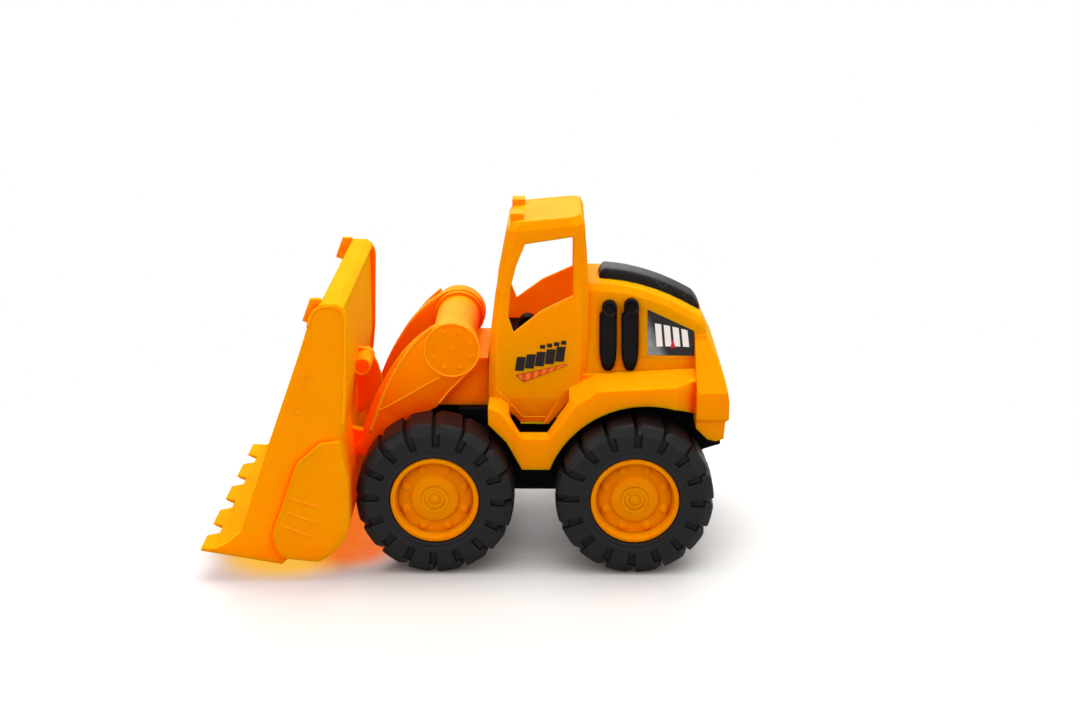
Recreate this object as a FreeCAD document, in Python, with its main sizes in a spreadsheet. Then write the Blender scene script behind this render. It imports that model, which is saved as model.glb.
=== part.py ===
"""Toy wheel loader: pushed by hand, with lift arms, a tilting bucket and two turning axles.

The frame: +X to the bucket, +Y to the driver's left, +Z up, origin on the ground in the middle of
the length. Stations along the toy ("..._x") are measured from the front axle, forward positive,
and heights ("..._z") from the ground. Every sub-part is then placed by the front axle's position.
"""
import FreeCAD, Part
import math
import os
import re
import Sketcher

Vector = FreeCAD.Vector
doc = FreeCAD.newDocument("toy_loader")

SIZES = {
    # overall
    "wheelbase": 87.8,
    "bucket_reach": 101.6,
    "tail_overhang": 41,
    "shell_wall": 1.8,
    "running_fit": 0.1,
    "slip_fit": 0.15,
    "side_gap": 0.5,
    # tyres
    "tyre_radius": 35,
    "tyre_width": 23.1,
    "tyre_face_y": 56.5,
    "tyre_bore_radius": 18.5,
    "tyre_mouth_radius": 20,
    "tyre_mouth_depth": 3.6,
    "shoulder_radius": 30.4,
    "shoulder_depth": 2.5,
    "tread_blocks": 16,
    "groove_width": 2.8,
    "groove_depth": 2.8,
    "notch_radius": 25,
    "notch_width": 2.6,
    "notch_depth": 1.1,
    # rims
    "flange_radius": 19.5,
    "flange_ring": 2.2,
    "flange_inset": 0.3,
    "flange_depth": 3,
    "dish_depth": 3.4,
    "dish_draft": 0.8,
    "rim_wall": 2,
    "rim_disc": 2.6,
    "hub_disc_radius": 10,
    "hub_disc_height": 1.5,
    "hub_ring_radius": 5.6,
    "hub_ring_height": 0.8,
    "hub_sleeve_radius": 4.2,
    "bolt_count": 8,
    "bolt_circle": 14.4,
    "bolt_radius": 1.4,
    "bolt_height": 0.9,
    "axle_radius": 1.5,
    "cap_radius": 2.6,
    "cap_depth": 1.6,
    "cap_dome": 0.9,
    # chassis
    "chassis_half": 28.5,
    "chassis_wall": 2.2,
    "chassis_floor": 2.6,
    "chassis_low_z": 30,
    "chassis_nose_x": 12,
    "chassis_nose_z": 44,
    "chassis_bay_z": 52,
    "tower_front_x": -9.5,
    "tower_back_x": -22.9,
    "tower_top_z": 68.6,
    "chassis_deck_z": 74,
    "chassis_rear_z": 77,
    "chassis_ramp_x": -103,
    "tail_low_x": -119.5,
    "tail_low_z": 49.6,
    "tail_end_x": -127,
    "tail_end_z": 52,
    "tail_lip": 2.4,
    "floor_boss_x": -39,
    "floor_boss_radius": 3.6,
    "floor_boss_drop": 1.2,
    # screws and their posts
    "post_radius": 3.4,
    "front_post_x": -71.5,
    "rear_post_x": -98,
    "post_y": 15,
    "screw_radius": 1.2,
    "screw_head_radius": 2.6,
    "screw_head_height": 1.5,
    "screw_length": 15,
    # cab
    "cab_low_z": 62.8,
    "cab_low_half": 31.2,
    "door_z": 75,
    "door_half": 33,
    "cab_back_x": -67.3,
    "cab_front_x": -22.9,
    "front_corner": 3.2,
    "back_corner": 4,
    "roof_tilt": 5.5,
    "roof_z": 153.8,
    "roof_bevel": 3.6,
    "roof_half": 23.4,
    "roof_front_x": -34,
    "roof_back_x": -64,
    "roof_wall": 2.2,
    "window_lift": 3.3,
    "window_back_x": -60.6,
    "window_top_z": 143.2,
    "lamp_inner": 11.5,
    "lamp_width": 8,
    "lamp_length": 5.8,
    "lamp_front_x": -32.9,
    "lamp_rise": 1.6,
    "lamp_sink": 5.4,
    # hood
    "hood_crest_z": 123.8,
    "hood_crest_x": -70,
    "hood_curve_radius": 77.4,
    "hood_end_x": -119.8,
    "hood_low_z": 77.5,
    "hood_low_half": 31,
    "hood_edge": 2.6,
    "hood_edge_run": 2.8,
    "hood_half": 29.6,
    "hood_lean": 0.244,
    "vent_half": 9,
    "vent_height": 4.2,
    "vent_front_x": -72.4,
    "vent_back_x": -117.6,
    # fenders and skirts
    "fender_half": 46,
    "fender_inner": 30.4,
    "fender_top_z": 86,
    "fender_fall": 3.9,
    "fender_rise": 2.3,
    "fender_back_x": -114.6,
    "arch_x": -93,
    "arch_z": 30.1,
    "arch_radius": 45.4,
    "skirt_low_z": 45.9,
    "skirt_ledge_z": 60.3,
    "skirt_fall": 3,
    "skirt_front_x": -38.2,
    "skirt_back_x": -50.4,
    "skirt_plate_y": 40,
    # counterweight
    "weight_half": 46,
    "weight_low_z": 59,
    "weight_step_z": 69,
    "weight_step": 1.4,
    "weight_shoulder_z": 81.5,
    "weight_neck_z": 100.5,
    "weight_neck_half": 27,
    # arm bracket and drum
    "pivot_x": -7.1,
    "pivot_z": 97,
    "drum_radius": 10,
    "drum_half": 25.6,
    "drum_ring_radius": 11.6,
    "drum_ring_width": 2.6,
    "bracket_half": 24,
    "bracket_front_x": 1,
    "bracket_shelf_z": 90.8,
    "pin_radius": 2.2,
    # lift arms
    "arm_boss_radius": 12.5,
    "arm_width": 6.9,
    "arm_skin": 2.2,
    "arm_ring_height": 0.6,
    "arm_tip_radius": 4.9,
    "tilt_x": 31,
    "tilt_z": 51.5,
    "tilt_pin_radius": 1.8,
    # bucket
    "bucket_back_x": 36.8,
    "bucket_back_half": 60,
    "bucket_lip_half": 66.8,
    "bucket_wall": 2.2,
    "bucket_top_z": 125.4,
    "bucket_lip_z": 15.6,
    "bucket_heel_z": 7.8,
    "bucket_heel_x": 67,
    "tooth_length": 5,
    "tooth_pitch": 29.8,
    "gap_root": 9,
    "gap_mouth": 15.4,
    "barrel_bulge": 2.4,
    "lug_inner": 21,
    "lug_outer": 25.4,
    "lug_radius": 4.6,
    "rib_half": 1.3,
    "boss_radius": 4.2,
    "boss_left": 14,
    "boss_right": 5,
    "boss_x": 35.1,
    "boss_z": 83.3,
    "tab_inner": 55.8,
    "tab_outer": 58.2,
    # cab insert
    "insert_half": 29,
    "insert_floor": 1.8,
    "dash_front_x": -29,
    "dash_back_x": -39.2,
    "dash_half": 20,
    "dash_top_z": 97.1,
    "wheel_radius": 4,
    "wheel_half": 3.5,
    "seat_front_x": -47,
    "seat_back_x": -61,
    "seat_half": 12,
    "seat_z": 88,
    "backrest_z": 104,
    "backrest_depth": 4,
    # exhaust stacks
    "stack_width": 7.6,
    "stack_length": 31.4,
    "stack_depth": 3.6,
    "stack_tip": 2.6,
    "stack_taper": 9,
    "stack_mouth_radius": 3.2,
    "stack_mouth_height": 1,
    "stack_front_x": -76.1,
    "stack_spacing": 9.7,
    "stack_lift": 0.8,
}

FRONT = "(wheelbase + tail_overhang - bucket_reach) / 2"
SIDES = {"left": 1, "right": -1}
AXLES = {"front": "0", "rear": "-wheelbase"}

sheet = doc.addObject("Spreadsheet::Sheet", "Sizes")
for row, (word, number) in enumerate(SIZES.items(), start=1):
    sheet.set(f"A{row}", word)
    sheet.set(f"B{row}", str(number))
    sheet.setAlias(f"B{row}", word)
doc.recompute()


# ---------------------------------------------------------------- helpers
def bound(text):
    """The expression with each size name pointing into the sheet."""
    return re.sub(r"[a-z_]+", lambda word: f"Sizes.{word[0]}" if word[0] in SIZES else word[0], str(text))


def value(text):
    """The number that an expression of size names gives."""
    return float(sheet.evalExpression(bound(text)))


def bind(item, **paths):
    """Tie properties of an object to expressions; "__" stands for a dot in the property's path."""
    for path, text in paths.items():
        item.setExpression(path.replace("__", "."), bound(text))


def place(item, x="0", y="0", z="0"):
    """Put an object at a station, measured from the front axle."""
    bind(item, Placement__Base__x=f"{FRONT} + {x}", Placement__Base__y=y, Placement__Base__z=z)
    return item


def arc_edge(start, end, radius, turn):
    """A short arc from start to end, turning left for +1 and right for -1."""
    chord = end - start
    lift = math.sqrt(max(radius**2 - chord.Length**2 / 4, 0))
    centre = (start + end) * 0.5 + Vector(-chord.y, chord.x, 0).normalize() * lift * turn
    first, last = (start, end) if turn > 0 else (end, start)
    angles = [math.atan2(spot.y - centre.y, spot.x - centre.x) for spot in (first, last)]
    return Part.ArcOfCircle(Part.Circle(centre, Vector(0, 0, 1), radius), *angles)


def draw(sketch, corners):
    """A closed outline. A corner is (u, v), or (u, v, radius, turn) where an arc leads to the next one."""
    spots = [Vector(value(corner[0]), value(corner[1]), 0) for corner in corners]
    ends = []
    for index, corner in enumerate(corners):
        start, end = spots[index], spots[(index + 1) % len(spots)]
        if len(corner) == 2:
            sketch.addGeometry(Part.LineSegment(start, end))
            ends.append((1, 2))
            continue
        sketch.addGeometry(arc_edge(start, end, value(corner[2]), corner[3]))
        ends.append((1, 2) if corner[3] > 0 else (2, 1))
        rule = sketch.addConstraint(Sketcher.Constraint("Radius", index, value(corner[2])))
        sketch.setExpression(f"Constraints[{rule}]", bound(corner[2]))
    for index, corner in enumerate(corners):
        after = (index + 1) % len(corners)
        meeting = (index, ends[index][1], after, ends[after][0])
        sketch.addConstraint(Sketcher.Constraint("Coincident", *meeting))
        for kind, text, number in zip(("DistanceX", "DistanceY"), corner, spots[index]):
            rule = Sketcher.Constraint(kind, -1, 1, index, ends[index][0], number)
            sketch.setExpression(f"Constraints[{sketch.addConstraint(rule)}]", bound(text))
    return sketch


PLANES = {
    "XZ": (FreeCAD.Rotation(Vector(1, 0, 0), 90), Vector(0, 1, 0)),
    "YZ": (FreeCAD.Rotation(Vector(1, 1, 1), 120), Vector(1, 0, 0)),
    "XY": (FreeCAD.Rotation(), Vector(0, 0, 1)),
}


def section(name, plane, corners):
    """A sketch on one of the main planes."""
    sketch = doc.addObject("Sketcher::SketchObject", f"{name}_sketch")
    sketch.Placement = FreeCAD.Placement(Vector(), PLANES[plane][0])
    return draw(sketch, corners)


def prism(name, plane, corners, low, high):
    """A sketch extruded from low to high along the axis that stands on its plane."""
    block = doc.addObject("Part::Extrusion", name)
    block.Base = section(name, plane, corners)
    block.DirMode = "Custom"
    block.Dir = PLANES[plane][1]
    block.Solid = True
    bind(block, LengthFwd=high, LengthRev=f"-({low})")
    return block


def slab(name, x, y, z):
    """A box between two expressions on each axis."""
    box = doc.addObject("Part::Box", name)
    for size, axis, (low, high) in zip(("Length", "Width", "Height"), "xyz", (x, y, z)):
        bind(box, **{size: f"({high}) - ({low})", f"Placement__Base__{axis}": low})
    return box


def rod(name, radius, x, z, low, high):
    """A cylinder across the toy, from low to high along Y."""
    bar = doc.addObject("Part::Cylinder", name)
    bar.Placement.Rotation = FreeCAD.Rotation(Vector(1, 0, 0), -90)
    bind(bar, Radius=radius, Height=f"({high}) - ({low})")
    bind(bar, Placement__Base__x=x, Placement__Base__y=low, Placement__Base__z=z)
    return bar


def post(name, radius, x, y, low, high):
    """An upright cylinder."""
    bar = doc.addObject("Part::Cylinder", name)
    bind(bar, Radius=radius, Height=f"({high}) - ({low})")
    bind(bar, Placement__Base__x=x, Placement__Base__y=y, Placement__Base__z=low)
    return bar


def both(low, high):
    """The two ranges of Y, left and right, of something that the toy has on both sides."""
    return [(low, high), (f"-({high})", f"-({low})")]


def fuse(name, items):
    joined = doc.addObject("Part::MultiFuse", name)
    joined.Shapes = items
    joined.Refine = True
    return joined


def common(name, items):
    shared = doc.addObject("Part::MultiCommon", name)
    shared.Shapes = items
    return shared


def cut(name, base, tools):
    left = doc.addObject("Part::Cut", name)
    left.Base = base
    left.Tool = tools[0] if len(tools) == 1 else fuse(f"{name}_tools", tools)
    left.Refine = True
    return left


def loft(name, sections):
    skin = doc.addObject("Part::Loft", name)
    skin.Sections = sections
    skin.Solid = True
    skin.Ruled = True
    return skin


parts = {}


def finish(name, item, x="0", y="0", z="0"):
    """Name a sub-part, place it in the toy and keep it for export."""
    item.Label = name
    parts[name] = place(item, x, y, z)
    return item


def mirrored(corners):
    """An outline's right half followed by its mirror image about the second axis."""
    return corners + [(f"-({u})", v) for u, v in reversed(corners)]


# ---------------------------------------------------------------- PartDesign helpers
def plane_of(body, role):
    return next(item for item in body.Origin.OriginFeatures if item.Role == role)


def new_body(name):
    body = doc.addObject("PartDesign::Body", f"{name}_body")
    return body


def body_sketch(body, name, role, corners, offset="0"):
    sketch = body.newObject("Sketcher::SketchObject", name)
    sketch.AttachmentSupport = [(plane_of(body, role), "")]
    sketch.MapMode = "FlatFace"
    bind(sketch, AttachmentOffset__Base__z=offset)
    return draw(sketch, corners)


def turned(body, name, corners):
    """A profile (y, radius) turned about the body's Y axis."""
    sketch = body_sketch(body, f"{name}_profile", "YZ_Plane", corners)
    turn = body.newObject("PartDesign::Revolution", name)
    turn.Profile = sketch
    turn.ReferenceAxis = (sketch, ["H_Axis"])
    turn.Angle = 360
    return turn


def around(body, name, features, count):
    """Copies of features, evenly about the body's Y axis."""
    ring = body.newObject("PartDesign::PolarPattern", name)
    ring.Originals = features
    ring.Axis = (plane_of(body, "Y_Axis"), [""])
    ring.Angle = 360
    bind(ring, Occurrences=count)
    body.Tip = ring
    return ring


def cut_box(body, name, size, spot):
    """A box cut out of the body."""
    box = body.newObject("PartDesign::SubtractiveBox", name)
    bind(box, Length=size[0], Width=size[1], Height=size[2])
    bind(box, Placement__Base__x=spot[0], Placement__Base__y=spot[1], Placement__Base__z=spot[2])
    return box


# ---------------------------------------------------------------- wheels
def tyre(name):
    """A ring with sloping shoulders; grooves cross the tread and run down the outer side."""
    body = new_body(name)
    ring = [
        ("-tyre_width", "tyre_bore_radius"),
        ("-tyre_mouth_depth", "tyre_bore_radius"),
        ("-tyre_mouth_depth", "tyre_mouth_radius"),
        ("0", "tyre_mouth_radius"),
        ("0", "shoulder_radius"),
        ("-shoulder_depth", "tyre_radius"),
        ("-tyre_width + shoulder_depth / 2", "tyre_radius"),
        ("-tyre_width", "tyre_radius - shoulder_depth / 2"),
    ]
    turned(body, f"{name}_ring", ring)
    groove = cut_box(
        body,
        f"{name}_groove",
        ("groove_width", "tyre_width + 2", "groove_depth + 2"),
        ("-groove_width / 2", "-tyre_width - 1", "tyre_radius - groove_depth"),
    )
    notch = cut_box(
        body,
        f"{name}_notch",
        ("notch_width", "notch_depth + 1", "tyre_radius - notch_radius"),
        ("-notch_width / 2", "-notch_depth", "notch_radius"),
    )
    around(body, f"{name}_tread", [groove, notch], "tread_blocks")
    return body


RIM_FACE = "(flange_inset + dish_depth)"
HUB_FACE = "(flange_inset + dish_depth - hub_disc_height)"
CAP_SEAT = f"({HUB_FACE} - hub_ring_height + cap_depth)"


def rim(name):
    """A dished rim with flange, hub disc and sleeve; its barrel fills the tyre's bore."""
    body = new_body(name)
    barrel = "(tyre_bore_radius - slip_fit)"
    inner = f"({barrel} - rim_wall)"
    bore = "(axle_radius + slip_fit / 3)"
    sleeve_end = "(chassis_half + side_gap - tyre_face_y)"
    dish = [
        ("-tyre_width + 1", inner),
        ("-tyre_width + 1", barrel),
        ("-flange_depth - flange_inset", barrel),
        ("-flange_depth - flange_inset", "flange_radius"),
        ("-flange_inset - 0.5", "flange_radius"),
        ("-flange_inset", "flange_radius - 0.5"),
        ("-flange_inset", "flange_radius - flange_ring"),
        (f"-{RIM_FACE}", "flange_radius - flange_ring - dish_draft"),
        (f"-{RIM_FACE}", "hub_disc_radius + 0.5"),
        (f"-{HUB_FACE}", "hub_disc_radius"),
        (f"-{HUB_FACE}", "hub_ring_radius"),
        (f"-{HUB_FACE} + hub_ring_height", "hub_ring_radius - 0.4"),
        (f"-{HUB_FACE} + hub_ring_height", "cap_radius + slip_fit"),
        (f"-{CAP_SEAT}", "cap_radius + slip_fit"),
        (f"-{CAP_SEAT}", bore),
        (sleeve_end, bore),
        (sleeve_end, "hub_sleeve_radius"),
        (f"-{RIM_FACE} - rim_disc", "hub_sleeve_radius"),
        (f"-{RIM_FACE} - rim_disc", inner),
    ]
    turned(body, f"{name}_dish", dish)
    bolt = body.newObject("PartDesign::AdditiveCylinder", f"{name}_bolt")
    bolt.Placement.Rotation = FreeCAD.Rotation(Vector(1, 0, 0), -90)
    bind(bolt, Radius="bolt_radius", Height="bolt_height + 1")
    bind(bolt, Placement__Base__y=f"-{RIM_FACE} - 1", Placement__Base__z="bolt_circle")
    around(body, f"{name}_bolts", [bolt], "bolt_count")
    return body


def hub_cap(name):
    """A domed plug over the end of the axle."""
    body = new_body(name)
    dome = [
        (f"-{CAP_SEAT}", "0"),
        (f"-{CAP_SEAT}", "cap_radius"),
        (f"-{CAP_SEAT} + cap_depth", "cap_radius"),
        (f"-{CAP_SEAT} + cap_depth + cap_dome * 0.7", "cap_radius * 0.66"),
        (f"-{CAP_SEAT} + cap_depth + cap_dome", "0"),
    ]
    turned(body, f"{name}_dome", dome)
    return body


for axle, station in AXLES.items():
    for side, sign in SIDES.items():
        for piece, make in (("tyre", tyre), ("rim", rim), ("hub_cap", hub_cap)):
            node = f"{axle}_{piece}_{side}"
            item = finish(node, make(node), station, f"{sign} * tyre_face_y", "tyre_radius")
            item.Placement.Rotation = FreeCAD.Rotation(Vector(0, 0, 1), 0 if sign > 0 else 180)
    end = f"(tyre_face_y - {CAP_SEAT})"
    shaft = rod(f"{axle}_shaft", "axle_radius", "0", "0", f"-{end}", end)
    finish(f"{axle}_axle", shaft, station, f"-{end}", "tyre_radius")


# ---------------------------------------------------------------- chassis
def chassis():
    """An open tray with the tower for the arm bracket at its front and a ramped tail."""
    side = [
        ("chassis_nose_x", "chassis_low_z"),
        ("chassis_nose_x", "chassis_nose_z"),
        ("chassis_nose_x - 7", "chassis_bay_z"),
        ("tower_front_x", "chassis_bay_z"),
        ("tower_front_x", "tower_top_z"),
        ("cab_front_x - shell_wall - side_gap", "tower_top_z"),
        ("cab_front_x - shell_wall - side_gap", "chassis_deck_z"),
        ("cab_back_x + shell_wall", "chassis_deck_z"),
        ("cab_back_x + shell_wall", "chassis_rear_z"),
        ("tail_end_x + tail_lip + 2", "chassis_rear_z"),
        ("tail_end_x + tail_lip", "chassis_rear_z - 4"),
        ("tail_end_x + tail_lip", "weight_low_z - 1.2"),
        ("tail_end_x", "weight_low_z - 1.2"),
        ("tail_end_x", "tail_end_z"),
        ("tail_low_x", "tail_low_z"),
        ("chassis_ramp_x", "chassis_low_z"),
    ]
    inside = [
        ("tower_back_x - 1", "chassis_low_z + chassis_floor"),
        ("tower_back_x - 1", "chassis_rear_z + 1"),
        ("tail_end_x + tail_lip + chassis_wall", "chassis_rear_z + 1"),
        ("tail_end_x + tail_lip + chassis_wall", "tail_end_z + chassis_floor"),
        ("tail_low_x", "tail_low_z + chassis_floor"),
        ("chassis_ramp_x + 1", "chassis_low_z + chassis_floor"),
    ]
    bay = ("tower_front_x + 3", "chassis_nose_x - chassis_wall")
    inner = "chassis_half - chassis_wall"
    reach = ("chassis_low_z - floor_boss_drop", "chassis_low_z + 1")
    block = fuse("chassis_block", [
        prism("chassis_tray", "XZ", side, "-chassis_half", "chassis_half"),
        post("floor_boss", "floor_boss_radius", "floor_boss_x", "0", *reach),
    ])
    tools = [
        prism("chassis_inside", "XZ", inside, f"-({inner})", inner),
        slab("chassis_bay", bay, (f"-({inner})", inner), ("chassis_low_z + chassis_floor", "tower_top_z")),
    ]
    ends = ("-chassis_half - 1", "chassis_half + 1")
    for axle, station in AXLES.items():
        tools.append(rod(f"{axle}_bearing", "axle_radius + running_fit", station, "tyre_radius", *ends))
    for name, x, y in posts():
        sink_top = "chassis_low_z + screw_head_height"
        tools.append(post(f"{name}_hole", "screw_radius + running_fit", x, y, "0", "tyre_radius"))
        tools.append(post(f"{name}_sink", "screw_head_radius + slip_fit", x, y, "0", sink_top))
    return cut("chassis", block, tools)


def posts():
    """Names and places of the four posts that the chassis is screwed to."""
    spots = []
    for place_name, x in (("front", "front_post_x"), ("rear", "rear_post_x")):
        for side, sign in SIDES.items():
            spots.append((f"{place_name}_{side}_post", x, f"{sign} * post_y"))
    return spots


def screws():
    """Four screws, heads sunk into the underside of the chassis."""
    pieces = []
    for name, x, y in posts():
        top = "chassis_low_z + screw_head_height"
        pieces.append(post(f"{name}_head", "screw_head_radius", x, y, "chassis_low_z + 0.2", top))
        pieces.append(post(f"{name}_shank", "screw_radius", x, y, top, f"{top} + screw_length"))
    return fuse("chassis_screws", pieces)


finish("chassis", chassis())
finish("chassis_screws", screws())


# ---------------------------------------------------------------- body shell
def plan(name, z, front, back, half, shrink, tilt=False):
    """One level of the cab: a rectangle with its corners cut, smaller by shrink all round."""
    side = f"{half} - {shrink}"
    nose = f"{front} - {shrink}"
    heel = f"{back} + {shrink}"
    outline = [
        (f"{heel} + back_corner", side),
        (f"{nose} - front_corner", side),
        (nose, f"{side} - front_corner"),
    ]
    outline += [(u, f"-({v})") for u, v in reversed(outline)]
    outline += [(heel, f"-({side} - back_corner)"), (heel, f"{side} - back_corner")]
    level = section(name, "XY", outline)
    if tilt:
        level.Placement.Rotation = FreeCAD.Rotation(Vector(0, 1, 0), SIZES["roof_tilt"])
        bind(level, Placement__Base__z=f"{z} + (roof_front_x + roof_back_x) / 2 * sin(roof_tilt)")
        bind(level, Placement__Rotation__Angle="roof_tilt")
    else:
        bind(level, Placement__Base__z=z)
    return level


def cab(name, shrink, low, roof):
    """The cab as a loft of levels. The front leans back, and the sides lean in above the sill."""
    lower = [
        (low, "cab_front_x", "cab_back_x", "cab_low_half"),
        ("door_z", "cab_front_x - 0.2", "cab_back_x", "door_half"),
        ("door_z + 13", "cab_front_x - 0.4", "cab_back_x", "door_half - 0.5"),
        ("door_z + 29", "cab_front_x - 1.2", "cab_back_x", "door_half - 2.2"),
        ("door_z + 45", "cab_front_x - 3.2", "cab_back_x", "door_half - 5"),
        ("door_z + 64", "cab_front_x - 6.8", "cab_back_x + 0.8", "door_half - 6.8"),
    ]
    levels = [plan(f"{name}_{index}", *row, shrink) for index, row in enumerate(lower)]
    shoulder = (f"{roof} - roof_bevel", "roof_front_x + 2.4", "roof_back_x - 1.6", "roof_half + 2")
    levels.append(plan(f"{name}_shoulder", *shoulder, shrink, tilt=True))
    levels.append(plan(f"{name}_roof", roof, "roof_front_x", "roof_back_x", "roof_half", shrink, tilt=True))
    return loft(name, levels)


def hood_top(x):
    """Height of the hood's middle, a shallow arc behind the crest."""
    return f"(hood_crest_z - (({x}) - hood_crest_x)^2 / (2 * hood_curve_radius))"


HOOD_STEPS = 7
HOOD_RUN = "(hood_end_x + 2 - hood_crest_x)"
HOOD_STATIONS = [f"(hood_crest_x + {HOOD_RUN} * {step} / {HOOD_STEPS})" for step in range(HOOD_STEPS + 1)]


def hood_section(name, x, top, shrink, narrow="0"):
    """One section across the hood: upright foot, leaning side, cut edge and flat top."""
    edge = f"({top} - {shrink} - hood_edge)"
    lean = f"(hood_half - {shrink} - {narrow} - ({edge} - fender_top_z) * hood_lean)"
    outline = [
        (f"hood_low_half - {shrink} - {narrow}", "hood_low_z"),
        (f"hood_half - {shrink} - {narrow}", "fender_top_z"),
        (lean, edge),
        (f"{lean} - hood_edge_run", f"{top} - {shrink}"),
    ]
    level = section(name, "YZ", mirrored(outline))
    bind(level, Placement__Base__x=x)
    return level


def hood(name, shrink, front, back):
    """The hood as a loft along the toy, from inside the cab to its rounded rear end."""
    levels = [hood_section(f"{name}_front", front, "hood_crest_z", shrink)]
    for index, x in enumerate(HOOD_STATIONS):
        levels.append(hood_section(f"{name}_{index}", x, hood_top(x), shrink))
    levels.append(hood_section(f"{name}_end", back, f"({hood_top(back)} - 3)", shrink, "1.5"))
    return loft(name, levels)


def fender(name, low, high, inner_is_low):
    """A fender and skirt: wheel arch, notch below the door and a top that falls outwards."""
    def side(end, outer):
        out = 1 if outer else 0
        top = f"(fender_top_z - fender_fall * {out})"
        ledge = f"(skirt_ledge_z + skirt_fall * {1 - out})"
        lean = f"(skirt_fall * {1 - out})"
        spring = "(arch_z + sqrt(arch_radius^2 - (fender_back_x - arch_x)^2))"
        foot = "(arch_x + sqrt(arch_radius^2 - (skirt_low_z - arch_z)^2))"
        return section(f"{name}_{end}", "XZ", [
            ("cab_front_x - 0.5", "skirt_low_z + 21"),
            ("cab_front_x - 8.6", "skirt_low_z + 12.6"),
            ("skirt_front_x", "skirt_low_z"),
            (foot, "skirt_low_z", "arch_radius", 1),
            ("arch_x", "arch_z + arch_radius", "arch_radius", 1),
            ("fender_back_x", spring),
            ("fender_back_x", f"{top} + fender_rise"),
            ("cab_back_x - 4", top),
            (f"cab_back_x + 5.5 + 2 * {lean}", f"{top} - 6.5"),
            (f"skirt_back_x + {lean}", ledge),
            (f"skirt_front_x + {lean}", ledge),
            (f"cab_front_x - 8.3 - {lean} * 0.6", f"{ledge} + 9"),
            ("cab_front_x - 5.5", f"{ledge} + 12.2"),
            ("cab_front_x - 0.5", "skirt_ledge_z + 14.5"),
        ])
    near = side("near", not inner_is_low)
    far = side("far", inner_is_low)
    bind(near, Placement__Base__y=low)
    bind(far, Placement__Base__y=high)
    return loft(name, [near, far])


def counterweight():
    """The tail block: a profile across the toy, trimmed to its shoulders seen from behind."""
    end = "(-wheelbase - tail_overhang)"
    side = [
        ("fender_back_x", "weight_low_z + 6"),
        ("fender_back_x - 5", "weight_low_z + 1"),
        ("fender_back_x - 8.6", "weight_low_z"),
        (f"{end} + weight_step + 0.6", "weight_low_z + 1.2"),
        (f"{end} + weight_step", "weight_step_z - 1"),
        (f"{end}", "weight_step_z + 0.5"),
        (end, "weight_shoulder_z - 4"),
        (f"{end} + 0.7", "weight_shoulder_z + 0.5"),
        (f"{end} + 1.7", "weight_shoulder_z + 5"),
        (f"{end} + 5.7", "weight_neck_z - 5"),
        ("hood_end_x", "weight_neck_z + 2"),
        ("fender_back_x", "weight_neck_z + 2"),
    ]
    behind = mirrored([
        ("weight_half - weight_step", "weight_low_z - 5"),
        ("weight_half - weight_step", "weight_step_z - 1"),
        ("weight_half", "weight_step_z + 0.5"),
        ("weight_half", "weight_shoulder_z"),
        ("weight_neck_half", "weight_neck_z"),
        ("weight_neck_half - 4", "weight_neck_z + 10"),
    ])
    low = f"{end} - 5"
    return common("weight", [
        prism("weight_side", "XZ", side, "-weight_half", "weight_half"),
        prism("weight_behind", "YZ", behind, low, "fender_back_x + 5"),
    ])


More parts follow.
